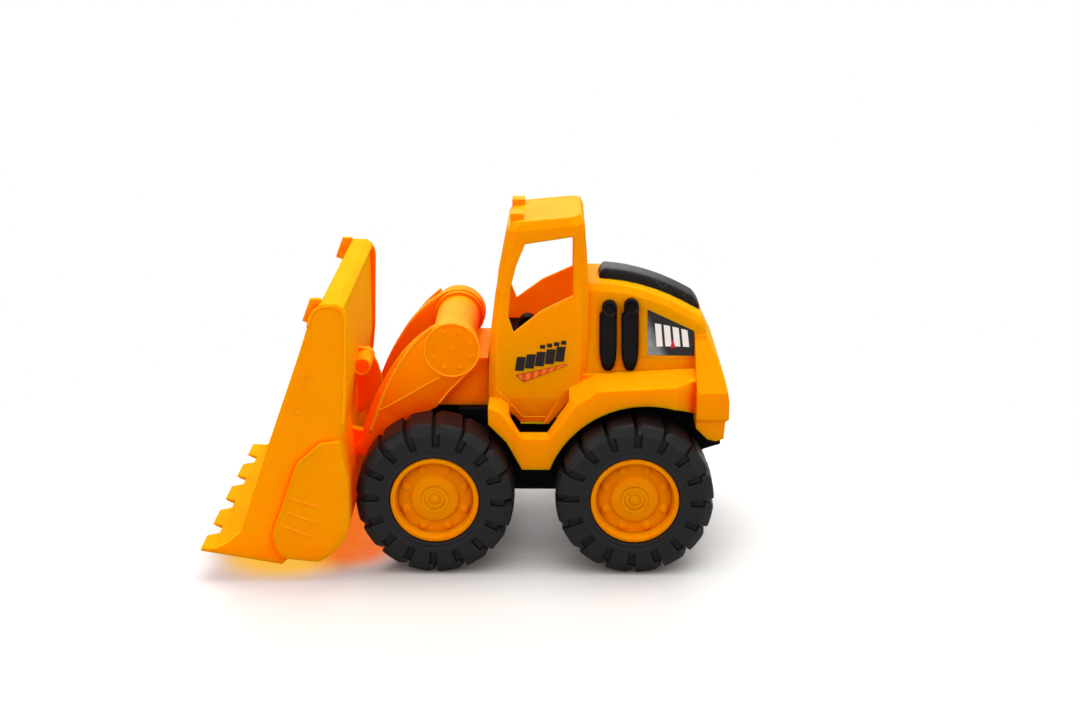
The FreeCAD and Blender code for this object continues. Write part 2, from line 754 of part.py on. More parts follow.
def body_shell():
    """Cab, hood, fenders and counterweight in one moulding, open below and at the windows."""
    solids = [
        cab("cab", "0", "cab_low_z", "roof_z"),
        hood("hood", "0", "cab_back_x + 5", "hood_end_x"),
        counterweight(),
        fender("left_fender", "fender_inner", "fender_half", True),
        fender("right_fender", "-fender_half", "-fender_inner", False),
    ]
    for index, reach in enumerate(both("hood_half - shell_wall", "fender_inner + 1")):
        web = (("fender_back_x", "cab_back_x + 4"), reach, ("chassis_rear_z + 1", "fender_top_z - 0.5"))
        solids.append(slab(f"fender_web_{index}", *web))
    for index, reach in enumerate(both("lamp_inner", "lamp_inner + lamp_width")):
        height = ("roof_z - lamp_sink", "roof_z + lamp_rise")
        lamp = (("lamp_front_x - lamp_length", "lamp_front_x"), reach, height)
        solids.append(slab(f"roof_lamp_{index}", *lamp))
    window = [
        ("cab_front_x - 16.5", "window_top_z"),
        ("window_back_x", "window_top_z + window_lift"),
        ("window_back_x", "window_top_z - 22.6"),
        ("cab_front_x - 23.5", "window_top_z - 29.4"),
        ("cab_front_x - 11.4", "window_top_z - 38.8"),
        ("cab_front_x - 9", "window_top_z - 32"),
        ("cab_front_x - 10", "window_top_z - 19.6"),
        ("cab_front_x - 12.6", "window_top_z - 9.6"),
    ]
    clear = ("-chassis_half - side_gap", "chassis_half + side_gap")
    windscreen = mirrored([("roof_half - 6", "window_top_z - 31"), ("roof_half - 7.5", "window_top_z - 1")])
    rear_light = mirrored([("roof_half - 6", "hood_crest_z + 6"), ("roof_half - 7.5", "window_top_z + 1")])
    slot = [
        ("cab_front_x - 10", "skirt_low_z - 1"),
        ("cab_front_x - 9.4", "skirt_ledge_z + 11"),
        ("cab_front_x - 9.4", "skirt_ledge_z + 30"),
        ("cab_back_x + 8.4", "skirt_ledge_z + 30"),
        ("cab_back_x + 8.4", "skirt_ledge_z + 15"),
        ("cab_back_x + 9", "skirt_low_z - 1"),
    ]
    notch = [
        ("fender_back_x + 11", "fender_half + 1"),
        ("fender_back_x", "fender_half + 1"),
        ("fender_back_x", "skirt_plate_y"),
    ]
    notch_top = "fender_top_z - fender_fall + fender_rise + 1"
    tail = "tail_end_x + tail_lip - side_gap"
    openings = [
        prism("side_windows", "XZ", window, "-fender_half", "fender_half"),
        prism("windscreen", "YZ", windscreen, "cab_front_x - 14", "cab_front_x + 5"),
        prism("rear_light", "YZ", rear_light, "cab_back_x - 5", "cab_back_x + 5"),
        slab("chassis_room", (tail, "cab_front_x + 1"), clear, ("0", "tower_top_z + side_gap")),
        slab("deck_room", (tail, "cab_front_x - shell_wall"), clear, ("0", "chassis_rear_z + side_gap")),
    ]
    for index, reach in enumerate(both("door_half", "skirt_plate_y")):
        openings.append(prism(f"step_slot_{index}", "XZ", slot, *reach))
    below = [
        ("cab_back_x + 9", "skirt_low_z - 1"),
        ("cab_front_x - 10", "skirt_low_z - 1"),
        ("cab_front_x - 10", "cab_low_z + 5.7"),
        ("cab_front_x - 14.6", "cab_low_z"),
        ("cab_back_x + 17.3", "cab_low_z"),
        ("cab_back_x + 9", "cab_low_z + 10.1"),
    ]
    for index, reach in enumerate(both("chassis_half", "door_half + 0.1")):
        openings.append(prism(f"step_view_{index}", "XZ", below, *reach))
    for index, sign in enumerate(SIDES.values()):
        outline = [(u, f"{sign} * ({v})") for u, v in notch]
        openings.append(prism(f"tail_notch_{index}", "XY", outline, "arch_z", notch_top))
    rooms = [
        cab("cab_room", "shell_wall", "cab_low_z - 1", "roof_z - roof_wall"),
        hood("hood_room", "shell_wall", "cab_back_x", "hood_end_x + shell_wall"),
    ]
    shell = cut("hollow_shell", fuse("shell_solid", solids), rooms + openings)
    studs, holes = [], []
    bore_top = "chassis_low_z + screw_length + 4"
    for name, x, y in posts():
        ceiling = f"{hood_top(x)} - shell_wall + 0.2"
        studs.append(post(name, "post_radius", x, y, "chassis_low_z + chassis_floor", ceiling))
        holes.append(post(f"{name}_bore", "screw_radius + running_fit", x, y, "0", bore_top))
    return cut("body_shell", fuse("shell_with_posts", [shell] + studs), holes)


finish("body_shell", body_shell())


# ---------------------------------------------------------------- trim on the body
def hood_vent():
    """A black cover lying on the hood's top, along its middle."""
    stations = [x for x in HOOD_STATIONS if value("vent_back_x") < value(x) < value("vent_front_x")]
    base = ["vent_front_x"] + stations + ["vent_back_x"]
    low = [(x, chord_top(x)) for x in base]
    high = [("vent_back_x + vent_height * 0.3", f"{chord_top('vent_back_x')} + vent_height * 0.6")]
    high += [(x, f"{hood_top(x)} + vent_height") for x in reversed(stations)]
    high += [("vent_front_x - vent_height * 0.5", f"{chord_top('vent_front_x')} + vent_height * 0.8")]
    return prism("hood_vent", "XZ", low + high, "-vent_half", "vent_half")


def chord_top(x):
    """Height of the lofted hood between two of its stations."""
    spans = list(zip(HOOD_STATIONS, HOOD_STATIONS[1:]))
    ahead, behind = next(span for span in spans if value(span[1]) <= value(x) <= value(span[0]))
    share = f"(({x}) - {ahead}) / ({behind} - {ahead})"
    return f"({hood_top(ahead)} + ({hood_top(behind)} - {hood_top(ahead)}) * {share})"


finish("hood_vent", hood_vent())


def exhaust_stack(name):
    """A flat upright with a tapered foot and a round mouth; its back lies on the hood's side."""
    body = new_body(name)
    outline = [
        ("-stack_tip / 2", "0"),
        ("stack_tip / 2", "0"),
        ("stack_width / 2", "stack_taper"),
        ("stack_width / 2", "stack_length - stack_width / 2", "stack_width / 2", 1),
        ("0", "stack_length", "stack_width / 2", 1),
        ("-stack_width / 2", "stack_length - stack_width / 2"),
        ("-stack_width / 2", "stack_taper"),
    ]
    sketch = body_sketch(body, f"{name}_outline", "XZ_Plane", outline)
    bar = body.newObject("PartDesign::Pad", f"{name}_bar")
    bar.Profile = sketch
    bar.Reversed = True
    bind(bar, Length="stack_depth")
    mouth = body.newObject("PartDesign::AdditiveCylinder", f"{name}_mouth")
    mouth.Placement.Rotation = FreeCAD.Rotation(Vector(1, 0, 0), -90)
    bind(mouth, Radius="stack_mouth_radius", Height="stack_depth + stack_mouth_height")
    bind(mouth, Placement__Base__z="stack_length - stack_width / 2")
    return body


STACK_FOOT = "(fender_top_z + stack_lift)"
for place_name, x in (("front", "stack_front_x"), ("rear", "stack_front_x - stack_spacing")):
    for side, sign in SIDES.items():
        node = f"stack_{place_name}_{side}"
        across = f"{sign} * (hood_half - stack_lift * hood_lean)"
        item = finish(node, exhaust_stack(node), x, across, STACK_FOOT)
        lean = math.degrees(math.atan(value("hood_lean")))
        turn = FreeCAD.Rotation(Vector(0, 0, 1), 0 if sign > 0 else 180)
        item.Placement.Rotation = turn * FreeCAD.Rotation(Vector(1, 0, 0), lean)


def cab_insert():
    """Floor, dashboard and seat of the cab, resting on the deck of the chassis."""
    deck = "chassis_deck_z"
    floor = (("seat_back_x - 2", "dash_front_x"), ("-insert_half", "insert_half"))
    dash = (("dash_back_x", "dash_front_x"), ("-dash_half", "dash_half"))
    seat = ("-seat_half", "seat_half")
    wheel = ("dash_back_x - 0.8", "dash_top_z + 3", "-wheel_half", "wheel_half")
    return fuse("cab_insert", [
        slab("insert_floor_plate", *floor, (deck, f"{deck} + insert_floor")),
        slab("dashboard", *dash, (deck, "dash_top_z")),
        slab("seat", ("seat_back_x", "seat_front_x"), seat, (deck, "seat_z")),
        slab("backrest", ("seat_back_x", "seat_back_x + backrest_depth"), seat, (deck, "backrest_z")),
        rod("steering_wheel", "wheel_radius", *wheel),
    ])


finish("cab_insert", cab_insert())


# ---------------------------------------------------------------- arm bracket, arms and their pin
def arm_bracket():
    """The post on the chassis tower, with the drum that the arms turn on."""
    side = [
        ("tower_back_x", "tower_top_z"),
        ("bracket_front_x", "tower_top_z"),
        ("bracket_front_x", "bracket_shelf_z"),
        ("tower_back_x", "bracket_shelf_z"),
    ]
    solids = [
        prism("bracket_post", "XZ", side, "-bracket_half", "bracket_half"),
        rod("drum", "drum_radius", "pivot_x", "pivot_z", "-drum_half", "drum_half"),
    ]
    for index, reach in enumerate(both("drum_half - drum_ring_width", "drum_half")):
        solids.append(rod(f"drum_ring_{index}", "drum_ring_radius", "pivot_x", "pivot_z", *reach))
    bore = ("pin_radius + running_fit", "pivot_x", "pivot_z", "-drum_half - 1", "drum_half + 1")
    return cut("arm_bracket", fuse("bracket_solid", solids), [rod("drum_bore", *bore)])


ARM_INNER = "(drum_half + 0.4)"
ARM_OUTER = f"({ARM_INNER} + arm_width)"


def lift_arm(name, sign):
    """A curved cheek from the drum down to the bucket, with a round boss on its outer side."""
    def on_boss(degrees):
        return f"pivot_x + arm_boss_radius * cos({degrees})", f"pivot_z + arm_boss_radius * sin({degrees})"
    outline = [
        (*on_boss(63), "55", -1),
        ("pivot_x + 27.6", "pivot_z - 10.2", "105", -1),
        ("tilt_x + arm_tip_radius * 0.7", "tilt_z + arm_tip_radius * 0.8"),
        ("tilt_x + arm_tip_radius * 1.25", "tilt_z - arm_tip_radius * 0.2"),
        ("tilt_x + arm_tip_radius * 0.7", "tilt_z - arm_tip_radius"),
        ("tilt_x - arm_tip_radius * 0.5", "tilt_z - arm_tip_radius"),
        ("tilt_x - 9", "tilt_z + 5.5"),
        ("pivot_x + 7", "pivot_z - 27"),
        ("pivot_x + 2", "pivot_z - 19.5"),
        (*on_boss(231), "arm_boss_radius", -1),
    ]
    low, high = both(ARM_INNER, ARM_OUTER)[0 if sign > 0 else 1]
    skin = (f"{low} - 1", f"{high} - arm_skin") if sign > 0 else (f"{low} + arm_skin", f"{high} + 1")
    ring = (high, f"{high} + arm_ring_height") if sign > 0 else (f"{low} - arm_ring_height", low)
    solid = fuse(f"{name}_solid", [
        prism(f"{name}_cheek", "XZ", outline, low, high),
        rod(f"{name}_boss", "arm_boss_radius", "pivot_x", "pivot_z", *ring),
    ])
    return cut(name, solid, [
        rod(f"{name}_pivot_hole", "pin_radius", "pivot_x", "pivot_z", *skin),
        rod(f"{name}_tilt_hole", "tilt_pin_radius", "tilt_x", "tilt_z", *skin),
    ])


finish("arm_bracket", arm_bracket())
for side, sign in SIDES.items():
    finish(f"lift_arm_{side}", lift_arm(f"lift_arm_{side}", sign))

PIN_END = f"({ARM_OUTER} - arm_skin)"
for name, radius, x, z in (
    ("arm_pivot_pin", "pin_radius", "pivot_x", "pivot_z"),
    ("bucket_pin", "tilt_pin_radius", "tilt_x", "tilt_z"),
):
    finish(name, rod(f"{name}_shaft", radius, "0", "0", f"-{PIN_END}", PIN_END), x, f"-{PIN_END}", z)


# ---------------------------------------------------------------- bucket
def bucket_plan(name, shrink, low, high):
    """The bucket seen from above: a little wider at its teeth than at its back."""
    slope = "((bucket_lip_half - bucket_back_half) / (bucket_reach - bucket_back_x))"
    back, front = "bucket_back_x - 10", "bucket_reach + 10"
    edge = f"bucket_back_half - ({shrink})"
    outline = [(x, f"{edge} + ({x} - bucket_back_x) * {slope}") for x in (back, front)]
    outline += [(x, f"-({half})") for x, half in reversed(outline)]
    return prism(name, "XY", outline, low, high)


def bucket():
    """Side plates, curved back with a barrel at its foot, floor with five teeth and a rear bracket."""
    back = "bucket_back_x"
    top = "bucket_top_z"
    plate = [
        (f"{back} - 1.6", f"{top} - 6.4"),
        (f"{back}", f"{top} - 1.8"),
        (f"{back} + 2.8", top),
        (f"{back} + 9.7", top),
        (f"{back} + 13.8", f"{top} - 6"),
        (f"{back} + 18.5", f"{top} - 20"),
        (f"{back} + 33.2", "64.8"),
        (f"{back} + 47.4", "bucket_lip_z + 8.4"),
        (f"{back} + 52.9", "bucket_lip_z + 3.4"),
        ("bucket_reach - 7", "bucket_lip_z + 0.9"),
        ("bucket_reach", "bucket_lip_z + 0.9"),
        ("bucket_reach", "bucket_lip_z"),
        ("bucket_heel_x", "bucket_heel_z"),
        ("bucket_heel_x - 2.6", "bucket_heel_z + 2.4"),
        (f"{back} + 14", "bucket_heel_z + 1.4", "24", -1),
        (f"{back}", "bucket_heel_z + 20"),
        (f"{back} + 0.1", "bucket_heel_z + 36.8"),
        (f"{back} + 3.4", "bucket_heel_z + 56.8"),
        (f"{back} + 0.9", "bucket_heel_z + 62.7"),
        (f"{back} - 0.4", "bucket_heel_z + 75.2"),
    ]
    hollow = [
        (f"{back} + 9.5", f"{top} + 10"),
        (f"{back} + 9.5", f"{top} - bucket_wall"),
        (f"{back} + 2.8", f"{top} - bucket_wall - 1.6"),
        (f"{back} + 2.8", "bucket_heel_z + 75"),
        (f"{back} + 5.4", "bucket_heel_z + 57.2"),
        (f"{back} + 0.1 + bucket_wall", "bucket_heel_z + 36.8"),
        (f"{back} + bucket_wall", "bucket_heel_z + 20.5", "21", 1),
        (f"{back} + 14.5", "bucket_heel_z + 1.4 + bucket_wall"),
        ("bucket_heel_x - 2", "bucket_heel_z + 2.4 + bucket_wall"),
        ("bucket_heel_x", "bucket_heel_z + bucket_wall"),
        ("bucket_reach - tooth_length", "bucket_lip_z + 0.9"),
        ("bucket_reach + 10", "bucket_lip_z + 1.2"),
        ("bucket_reach + 10", f"{top} + 10"),
    ]
    barrel = [
        (f"{back} + 11", "bucket_heel_z + 56"),
        (f"{back} + 21.6", "bucket_heel_z + 46.7"),
        (f"{back} + 26.5", "bucket_heel_z + 32.4"),
        (f"{back} + 33", "bucket_heel_z + 15"),
        (f"{back} + 32", "bucket_heel_z + 8.4"),
        (f"{back} + 27.8", "bucket_heel_z + 3.4"),
        (f"{back} + 14", "bucket_heel_z + 1.4", "24", -1),
        (back, "bucket_heel_z + 20"),
        (f"{back} + 0.1", "bucket_heel_z + 36.8"),
        (f"{back} + 3.4", "bucket_heel_z + 56.8"),
    ]
    behind = [
        (f"{back} - 8", f"{top} - bucket_wall - 0.8"),
        (f"{back} + 1", f"{top} - bucket_wall - 0.8"),
        (f"{back} + 1", "bucket_heel_z + 75"),
        (f"{back} + 3.4", "bucket_heel_z + 57.4"),
        (f"{back} - 8", "bucket_heel_z + 57.4"),
    ]
    rib = [
        (f"{back} + 2", "boss_z + 5.6"),
        ("boss_x", "boss_z + 4.8"),
        ("boss_x - 3.2", "boss_z + 3.2"),
        ("boss_x - 5.9", "boss_z - 2.4"),
        ("boss_x - 7.5", "boss_z - 8.4"),
        ("boss_x - 8.4", "boss_z - 14.4"),
        ("boss_x - 5", "boss_z - 22"),
        (f"{back} + 2", "boss_z - 27"),
    ]
    tab = [
        (f"{back} + 8", f"{top} - 3.4"),
        (f"{back} + 9.5", f"{top} + 1.6"),
        (f"{back} + 14", f"{top} + 1.6"),
        (f"{back} + 17.6", f"{top} - 8"),
        (f"{back} + 13", f"{top} - 9.5"),
    ]
    lug = [
        (f"{back} + 2.5", "tilt_z + 6.5"),
        ("tilt_x - lug_radius * 0.64", "tilt_z + lug_radius * 0.77"),
        ("tilt_x - lug_radius", "tilt_z"),
        ("tilt_x - lug_radius * 0.64", "tilt_z - lug_radius * 0.77"),
        (f"{back} + 1.5", "tilt_z - 7.5"),
    ]
    wide = "bucket_lip_half + 5"
    inner = "bucket_back_half - bucket_wall - 0.3"
    tall = ("-5", f"{top} + 10")
    body = common("bucket_plates", [
        prism("bucket_outline", "XZ", plate, f"-({wide})", wide),
        bucket_plan("bucket_outer_plan", "0", *tall),
    ])
    barrels = common("bucket_barrels", [
        prism("barrel_outline", "XZ", barrel, f"-({wide})", wide),
        bucket_plan("barrel_plan", "-barrel_bulge", *tall),
    ])
    room = common("bucket_room", [
        prism("room_outline", "XZ", hollow, f"-({wide})", wide),
        bucket_plan("room_plan", "bucket_wall", *tall),
    ])
    tools = [room, prism("bucket_behind", "XZ", behind, f"-({inner})", inner)]
    for index in range(4):
        middle = f"(tooth_pitch * {index - 1.5})"
        root, mouth = "bucket_reach - tooth_length", "bucket_reach + 1"
        gap = [
            (root, f"{middle} - gap_root / 2"),
            (mouth, f"{middle} - gap_mouth / 2"),
            (mouth, f"{middle} + gap_mouth / 2"),
            (root, f"{middle} + gap_root / 2"),
        ]
        tools.append(prism(f"tooth_gap_{index}", "XY", gap, "-5", "bucket_lip_z + 10"))
    extras = [
        prism("bucket_rib", "XZ", rib, "-rib_half", "rib_half"),
        rod("bucket_boss", "boss_radius", "boss_x", "boss_z", "-boss_right", "boss_left"),
    ]
    for index in range(2):
        extras.append(prism(f"bucket_tab_{index}", "XZ", tab, *both("tab_inner", "tab_outer")[index]))
        extras.append(prism(f"bucket_lug_{index}", "XZ", lug, *both("lug_inner", "lug_outer")[index]))
    shell = cut("bucket_shell", fuse("bucket_solid", [body, barrels]), tools)
    bore = ("tilt_pin_radius + running_fit", "tilt_x", "tilt_z", "-lug_outer - 1", "lug_outer + 1")
    return cut("bucket", fuse("bucket_joined", [shell] + extras), [rod("lug_bore", *bore)])


finish("bucket", bucket())


# ---------------------------------------------------------------- check and write
doc.recompute()
failed = [item.Name for item in doc.Objects if "Invalid" in item.State or "Error" in item.State]
if failed:
    raise RuntimeError(f"objects that did not recompute: {failed}")
for name, item in parts.items():
    if item.Shape.isNull() or not item.Shape.isValid():
        raise RuntimeError(f"{name} has no valid shape")
os.makedirs("parts", exist_ok=True)
for name, item in parts.items():
    item.Shape.exportStep(f"parts/{name}.step")
    box = item.Shape.BoundBox
    print(f"{name}: {len(item.Shape.Solids)} solid, {item.Shape.Volume:.0f} mm3")
    print(f"    X {box.XMin:.1f} {box.XMax:.1f}, Y {box.YMin:.1f} {box.YMax:.1f}")
    print(f"    Z {box.ZMin:.1f} {box.ZMax:.1f}")
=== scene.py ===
"""Toy wheel loader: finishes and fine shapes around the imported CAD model.

Lengths in this file are millimetres, unless a note says metres. Stations along the toy are
measured from the front axle, forward positive; y is to the driver's left and z up from the ground.
"""
import bpy
import math
import numpy as np
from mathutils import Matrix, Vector


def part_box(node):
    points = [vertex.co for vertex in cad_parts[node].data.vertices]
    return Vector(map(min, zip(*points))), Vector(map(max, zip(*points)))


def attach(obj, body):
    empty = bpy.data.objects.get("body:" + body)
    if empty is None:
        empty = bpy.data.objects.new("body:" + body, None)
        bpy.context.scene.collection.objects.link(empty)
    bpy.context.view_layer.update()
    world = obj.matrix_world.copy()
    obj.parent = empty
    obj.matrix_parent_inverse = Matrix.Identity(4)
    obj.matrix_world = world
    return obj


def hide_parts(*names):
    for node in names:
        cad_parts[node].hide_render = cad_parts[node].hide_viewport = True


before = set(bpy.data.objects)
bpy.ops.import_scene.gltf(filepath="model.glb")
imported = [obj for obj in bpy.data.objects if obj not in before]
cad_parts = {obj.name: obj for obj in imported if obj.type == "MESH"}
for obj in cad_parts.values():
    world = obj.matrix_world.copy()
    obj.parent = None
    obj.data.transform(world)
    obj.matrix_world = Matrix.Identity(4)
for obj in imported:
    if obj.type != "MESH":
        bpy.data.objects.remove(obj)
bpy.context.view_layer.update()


# ---------------------------------------------------------------- table, light and camera
# The toy stands on a wide table of pale lacquered card, faintly uneven, in a white room with one
# broad lamp overhead, two in front and one behind. The card takes the toy's shadow, deepened by a
# painted shadow where the toy shelters it, and shows the eye a painted amber and red glow where
# the see-through bucket shelters it.
class Wire:
    """A shader node's output. wire + b, wire - b, wire * b and 1 - wire each add a Math node."""

    def __init__(self, tree, socket):
        self.tree = tree
        self.socket = socket

    def math(self, operation, *others):
        """A Math node with this wire in its first socket and the others in the next ones."""
        values = dict(enumerate((self, *others)))
        return add(self.tree, "ShaderNodeMath", {"operation": operation}, values)

    def __add__(self, other):
        return self.math("ADD", other)

    def __sub__(self, other):
        return self.math("SUBTRACT", other)

    def __rsub__(self, other):
        return self.math("MULTIPLY_ADD", -1.0, other)

    def __mul__(self, other):
        return self.math("MULTIPLY", other)

    def rise(self, low, high):
        """0 below low, 1 above high, smooth between."""
        settings = {"interpolation_type": "SMOOTHSTEP"}
        sockets = {"Value": self, "From Min": low, "From Max": high}
        return add(self.tree, "ShaderNodeMapRange", settings, sockets)


def add(tree, kind, settings=None, inputs=None, output=0):
    """A node of a kind: its settings are set first, then the values or wires of its sockets."""
    node = tree.nodes.new(kind)
    for name, setting in (settings or {}).items():
        setattr(node, name, setting)
    for name, given in (inputs or {}).items():
        if isinstance(given, Wire):
            tree.links.new(given.socket, node.inputs[name])
        else:
            node.inputs[name].default_value = given
    return Wire(tree, node.outputs[output]) if node.outputs else None


def shade(red, green, blue):
    """A colour written as 0-255 screen values, as the linear values that a shader takes."""
    screen = np.array([red, green, blue]) / 255
    linear = np.where(screen <= 0.04045, screen / 12.92, ((screen + 0.055) / 1.055) ** 2.4)
    return (*linear.tolist(), 1.0)


class Finish:
    """A material whose varying parts are written as sums of wires."""

    def __init__(self, name, **plain):
        self.material = bpy.data.materials.new(name)
        self.material.use_nodes = True
        self.tree = self.material.node_tree
        self.shader = self.tree.nodes["Principled BSDF"]
        for socket, given in plain.items():
            self.shader.inputs[socket.replace("_", " ")].default_value = given

    def add(self, kind, settings=None, inputs=None, output=0):
        return add(self.tree, kind, settings, inputs, output)

    def spot(self):
        """Object coordinates: metres in the toy's own frame."""
        return self.add("ShaderNodeTexCoord", output="Object")

    def noise(self, size, detail=2.0):
        """Cloudy noise from 0 to 1 with blotches of a size in millimetres."""
        sockets = {"Vector": self.spot(), "Scale": 1000 / size, "Detail": detail}
        return self.add("ShaderNodeTexNoise", inputs=sockets)

    def mix(self, share, first, second):
        """first where share is 0, second where it is 1; both are colours."""
        settings = {"data_type": "RGBA", "clamp_factor": True}
        return self.add("ShaderNodeMix", settings, {0: share, 6: first, 7: second}, output=2)

    def shelter(self, reach, samples=6):
        """0 in the open and 1 where faces within reach, in millimetres, shut the light out."""
        sockets = {"Distance": reach / 1000}
        return 1 - self.add("ShaderNodeAmbientOcclusion", {"samples": samples}, sockets, "AO")

    def length(self, vector):
        return self.add("ShaderNodeVectorMath", {"operation": "LENGTH"}, {0: vector}, "Value")

    def part(self, vector, axis):
        return self.add("ShaderNodeSeparateXYZ", inputs={"Vector": vector}, output=axis)

    def feed(self, **wires):
        """Leads wires to the shader's sockets; an underscore stands for a space in their names."""
        for socket, wire in wires.items():
            self.tree.links.new(wire.socket, self.shader.inputs[socket.replace("_", " ")])
        return self

    def relief(self, height, depth, normal=None):
        """Bump of a depth in millimetres where height is 1, on a normal of its own if given."""
        sockets = {"Height": height, "Distance": depth / 1000}
        if normal is not None:
            sockets["Normal"] = normal
        return self.feed(Normal=self.add("ShaderNodeBump", inputs=sockets))


AXLE_X = sum(corner.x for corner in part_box("front_tyre_left")) * 500


def mesh_piece(name, spots, faces):
    """A smooth-shaded mesh object from points in millimetres, measured from the front axle."""
    mesh = bpy.data.meshes.new(name)
    mesh.from_pydata((np.asarray(spots) + [AXLE_X, 0, 0]) / 1000, [], faces)
    mesh.polygons.foreach_set("use_smooth", np.ones(len(mesh.polygons), bool))
    piece = bpy.data.objects.new(name, mesh)
    bpy.context.scene.collection.objects.link(piece)
    return piece


def straight_from_eye(tree):
    """1 for what the camera sees, also in mirrors and through glass, 0 for light in the room."""
    kinds = ("Camera", "Glossy", "Transmission")
    rays = [add(tree, "ShaderNodeLightPath", output=f"Is {kind} Ray") for kind in kinds]
    return (rays[0] + rays[1] + rays[2]).math("MINIMUM", 1.0)


TABLE_REACH = 6000.0
SHADOW_REACH = (0.25, 0.33)  # metres
CARD = ((0.81, 0.795, 0.775, 1), (0.84, 0.825, 0.805, 1))
# A painted shadow: the card's colour where the toy shelters it.
CARD_PAINTED_SHADOW = (0.31, 0.25, 0.225, 1)
CARD_TO_ROOM = (0.34, 0.34, 0.34, 1)
CARD_GLOW = 0.02
# A painted amber and red glow under and beside the bucket: its share of the eye's view, its colours
# and the ellipses it fills.
PAINTED_GLOW_SHARE = 0.96
WHITE = (1, 1, 1, 1)
PAINTED_AMBER_GLOW = (1.0, 0.52, 0.06, 1)
PAINTED_RED_GLOW = (0.92, 0.16, 0.012, 1)
PAINTED_AMBER_GLOW_SPOT = ((84, 4), (52, 76))
PAINTED_RED_GLOW_SPOT = ((52, 0), (30, 62))
table_paint = Finish("table_paint", Roughness=0.5, Specular_IOR_Level=0.2)
to_eye = straight_from_eye(table_paint.tree)
painted_light_shelter = table_paint.shelter(70, samples=8)
card = table_paint.mix(table_paint.noise(400), *CARD)
# Painted shadow: the card darkens towards a brown grey where the toy shelters it from the room.
card = table_paint.mix(painted_light_shelter.rise(0.25, 0.95), card, CARD_PAINTED_SHADOW)
table_paint.feed(Base_Color=table_paint.mix(to_eye, CARD_TO_ROOM, card))


def painted_glow_ellipse(centre, halves):
    """1 inside an ellipse on the table, of a centre and half sizes, and 0 outside it, softly."""
    place = [-middle / half for middle, half in zip(centre, halves)]
    scale = [1000 / half for half in halves]
    sockets = {"Vector": table_paint.spot(), "Location": (*place, 0), "Scale": (*scale, 0)}
    around = table_paint.add("ShaderNodeMapping", inputs=sockets)
    return 1 - table_paint.length(around).rise(0.58, 1.06)


# A painted glow: amber and red light shown to the eye in ellipses under and beside the bucket,
# where the toy shelters the card.
painted_amber_glow = painted_glow_ellipse(*PAINTED_AMBER_GLOW_SPOT) * painted_light_shelter.rise(0.06, 0.7)
painted_red_glow = painted_glow_ellipse(*PAINTED_RED_GLOW_SPOT) * painted_light_shelter.rise(0.42, 0.75)
painted_glow_colour = table_paint.mix(painted_red_glow, table_paint.mix(painted_amber_glow, WHITE, PAINTED_AMBER_GLOW), PAINTED_RED_GLOW)
bright = table_paint.add("ShaderNodeEmission", inputs={"Color": painted_glow_colour, "Strength": 1.0})
painted = Wire(table_paint.tree, table_paint.shader.outputs[0])
away = table_paint.length(table_paint.spot()).rise(*SHADOW_REACH) * (1 - CARD_GLOW) + CARD_GLOW
share = to_eye * away.math("MAXIMUM", painted_amber_glow.math("MAXIMUM", painted_red_glow) * PAINTED_GLOW_SHARE)
table_look = table_paint.add("ShaderNodeMixShader", inputs={0: share, 1: painted, 2: bright})
surface = table_paint.tree.nodes["Material Output"].inputs["Surface"]
table_paint.tree.links.new(table_look.socket, surface)
corners = np.array([(-1, -1, 0), (1, -1, 0), (1, 1, 0), (-1, 1, 0)])
table = mesh_piece("table", corners * TABLE_REACH, [(0, 1, 2, 3)])
table.data.materials.append(table_paint.material)

WALL_LIGHT = 0.44
CEILING_LIGHT = 0.95
room = bpy.data.worlds.new("room")
bpy.context.scene.world = room
room.use_nodes = True
room.node_tree.nodes.clear()
direction = add(room.node_tree, "ShaderNodeTexCoord", output="Object")
upright = add(room.node_tree, "ShaderNodeSeparateXYZ", inputs={"Vector": direction}, output="Z")
light = upright.rise(0.0, 1.0) * (CEILING_LIGHT - WALL_LIGHT) + WALL_LIGHT
level = light + straight_from_eye(room.node_tree) * (1 - light)
glow = add(room.node_tree, "ShaderNodeBackground", inputs={"Color": WHITE, "Strength": level})
add(room.node_tree, "ShaderNodeOutputWorld", inputs={"Surface": glow})

LAMPS_POINT_AT = (-44, 0, 60)
LAMPS = [
    # name, place, size, watts
    ("overhead_lamp", (-120, 0, 900), 900, 4.25),
    ("front_left_lamp", (550, 900, 420), 600, 3.1),
    ("front_right_lamp", (-650, 900, 450), 600, 2.45),
    ("back_lamp", (60, -900, 300), 700, 4.6),
]
for name, place, size, watts in LAMPS:
    lamp = bpy.data.lights.new(name, "AREA")
    lamp.shape = "DISK"
    lamp.size = size / 1000
    lamp.energy = watts
    holder = bpy.data.objects.new(name, lamp)
    holder.location = Vector(place) / 1000
    beam = Vector(LAMPS_POINT_AT) + Vector((AXLE_X, 0, 0)) - Vector(place)
    holder.rotation_euler = beam.to_track_quat("-Z", "Y").to_euler()
    bpy.context.scene.collection.objects.link(holder)

CAMERA_PLACE = (-39.9, 749.0, 314.3)
CAMERA_PITCH = 17.2
CAMERA_TURN = 180.6
SENSOR_WIDTH = 36
FOCAL_LENGTH = 56.67
CAMERA_REACH = 50  # metres
camera_data = bpy.data.cameras.new("camera")
camera_data.sensor_width = SENSOR_WIDTH
camera_data.lens = FOCAL_LENGTH
camera_data.clip_end = CAMERA_REACH
camera = bpy.data.objects.new("camera", camera_data)
camera.location = Vector(CAMERA_PLACE) / 1000
camera.rotation_euler = (math.radians(90 - CAMERA_PITCH), 0, math.radians(CAMERA_TURN))
bpy.context.scene.collection.objects.link(camera)
bpy.context.scene.camera = camera
bpy.context.scene.view_settings.view_transform = "Standard"


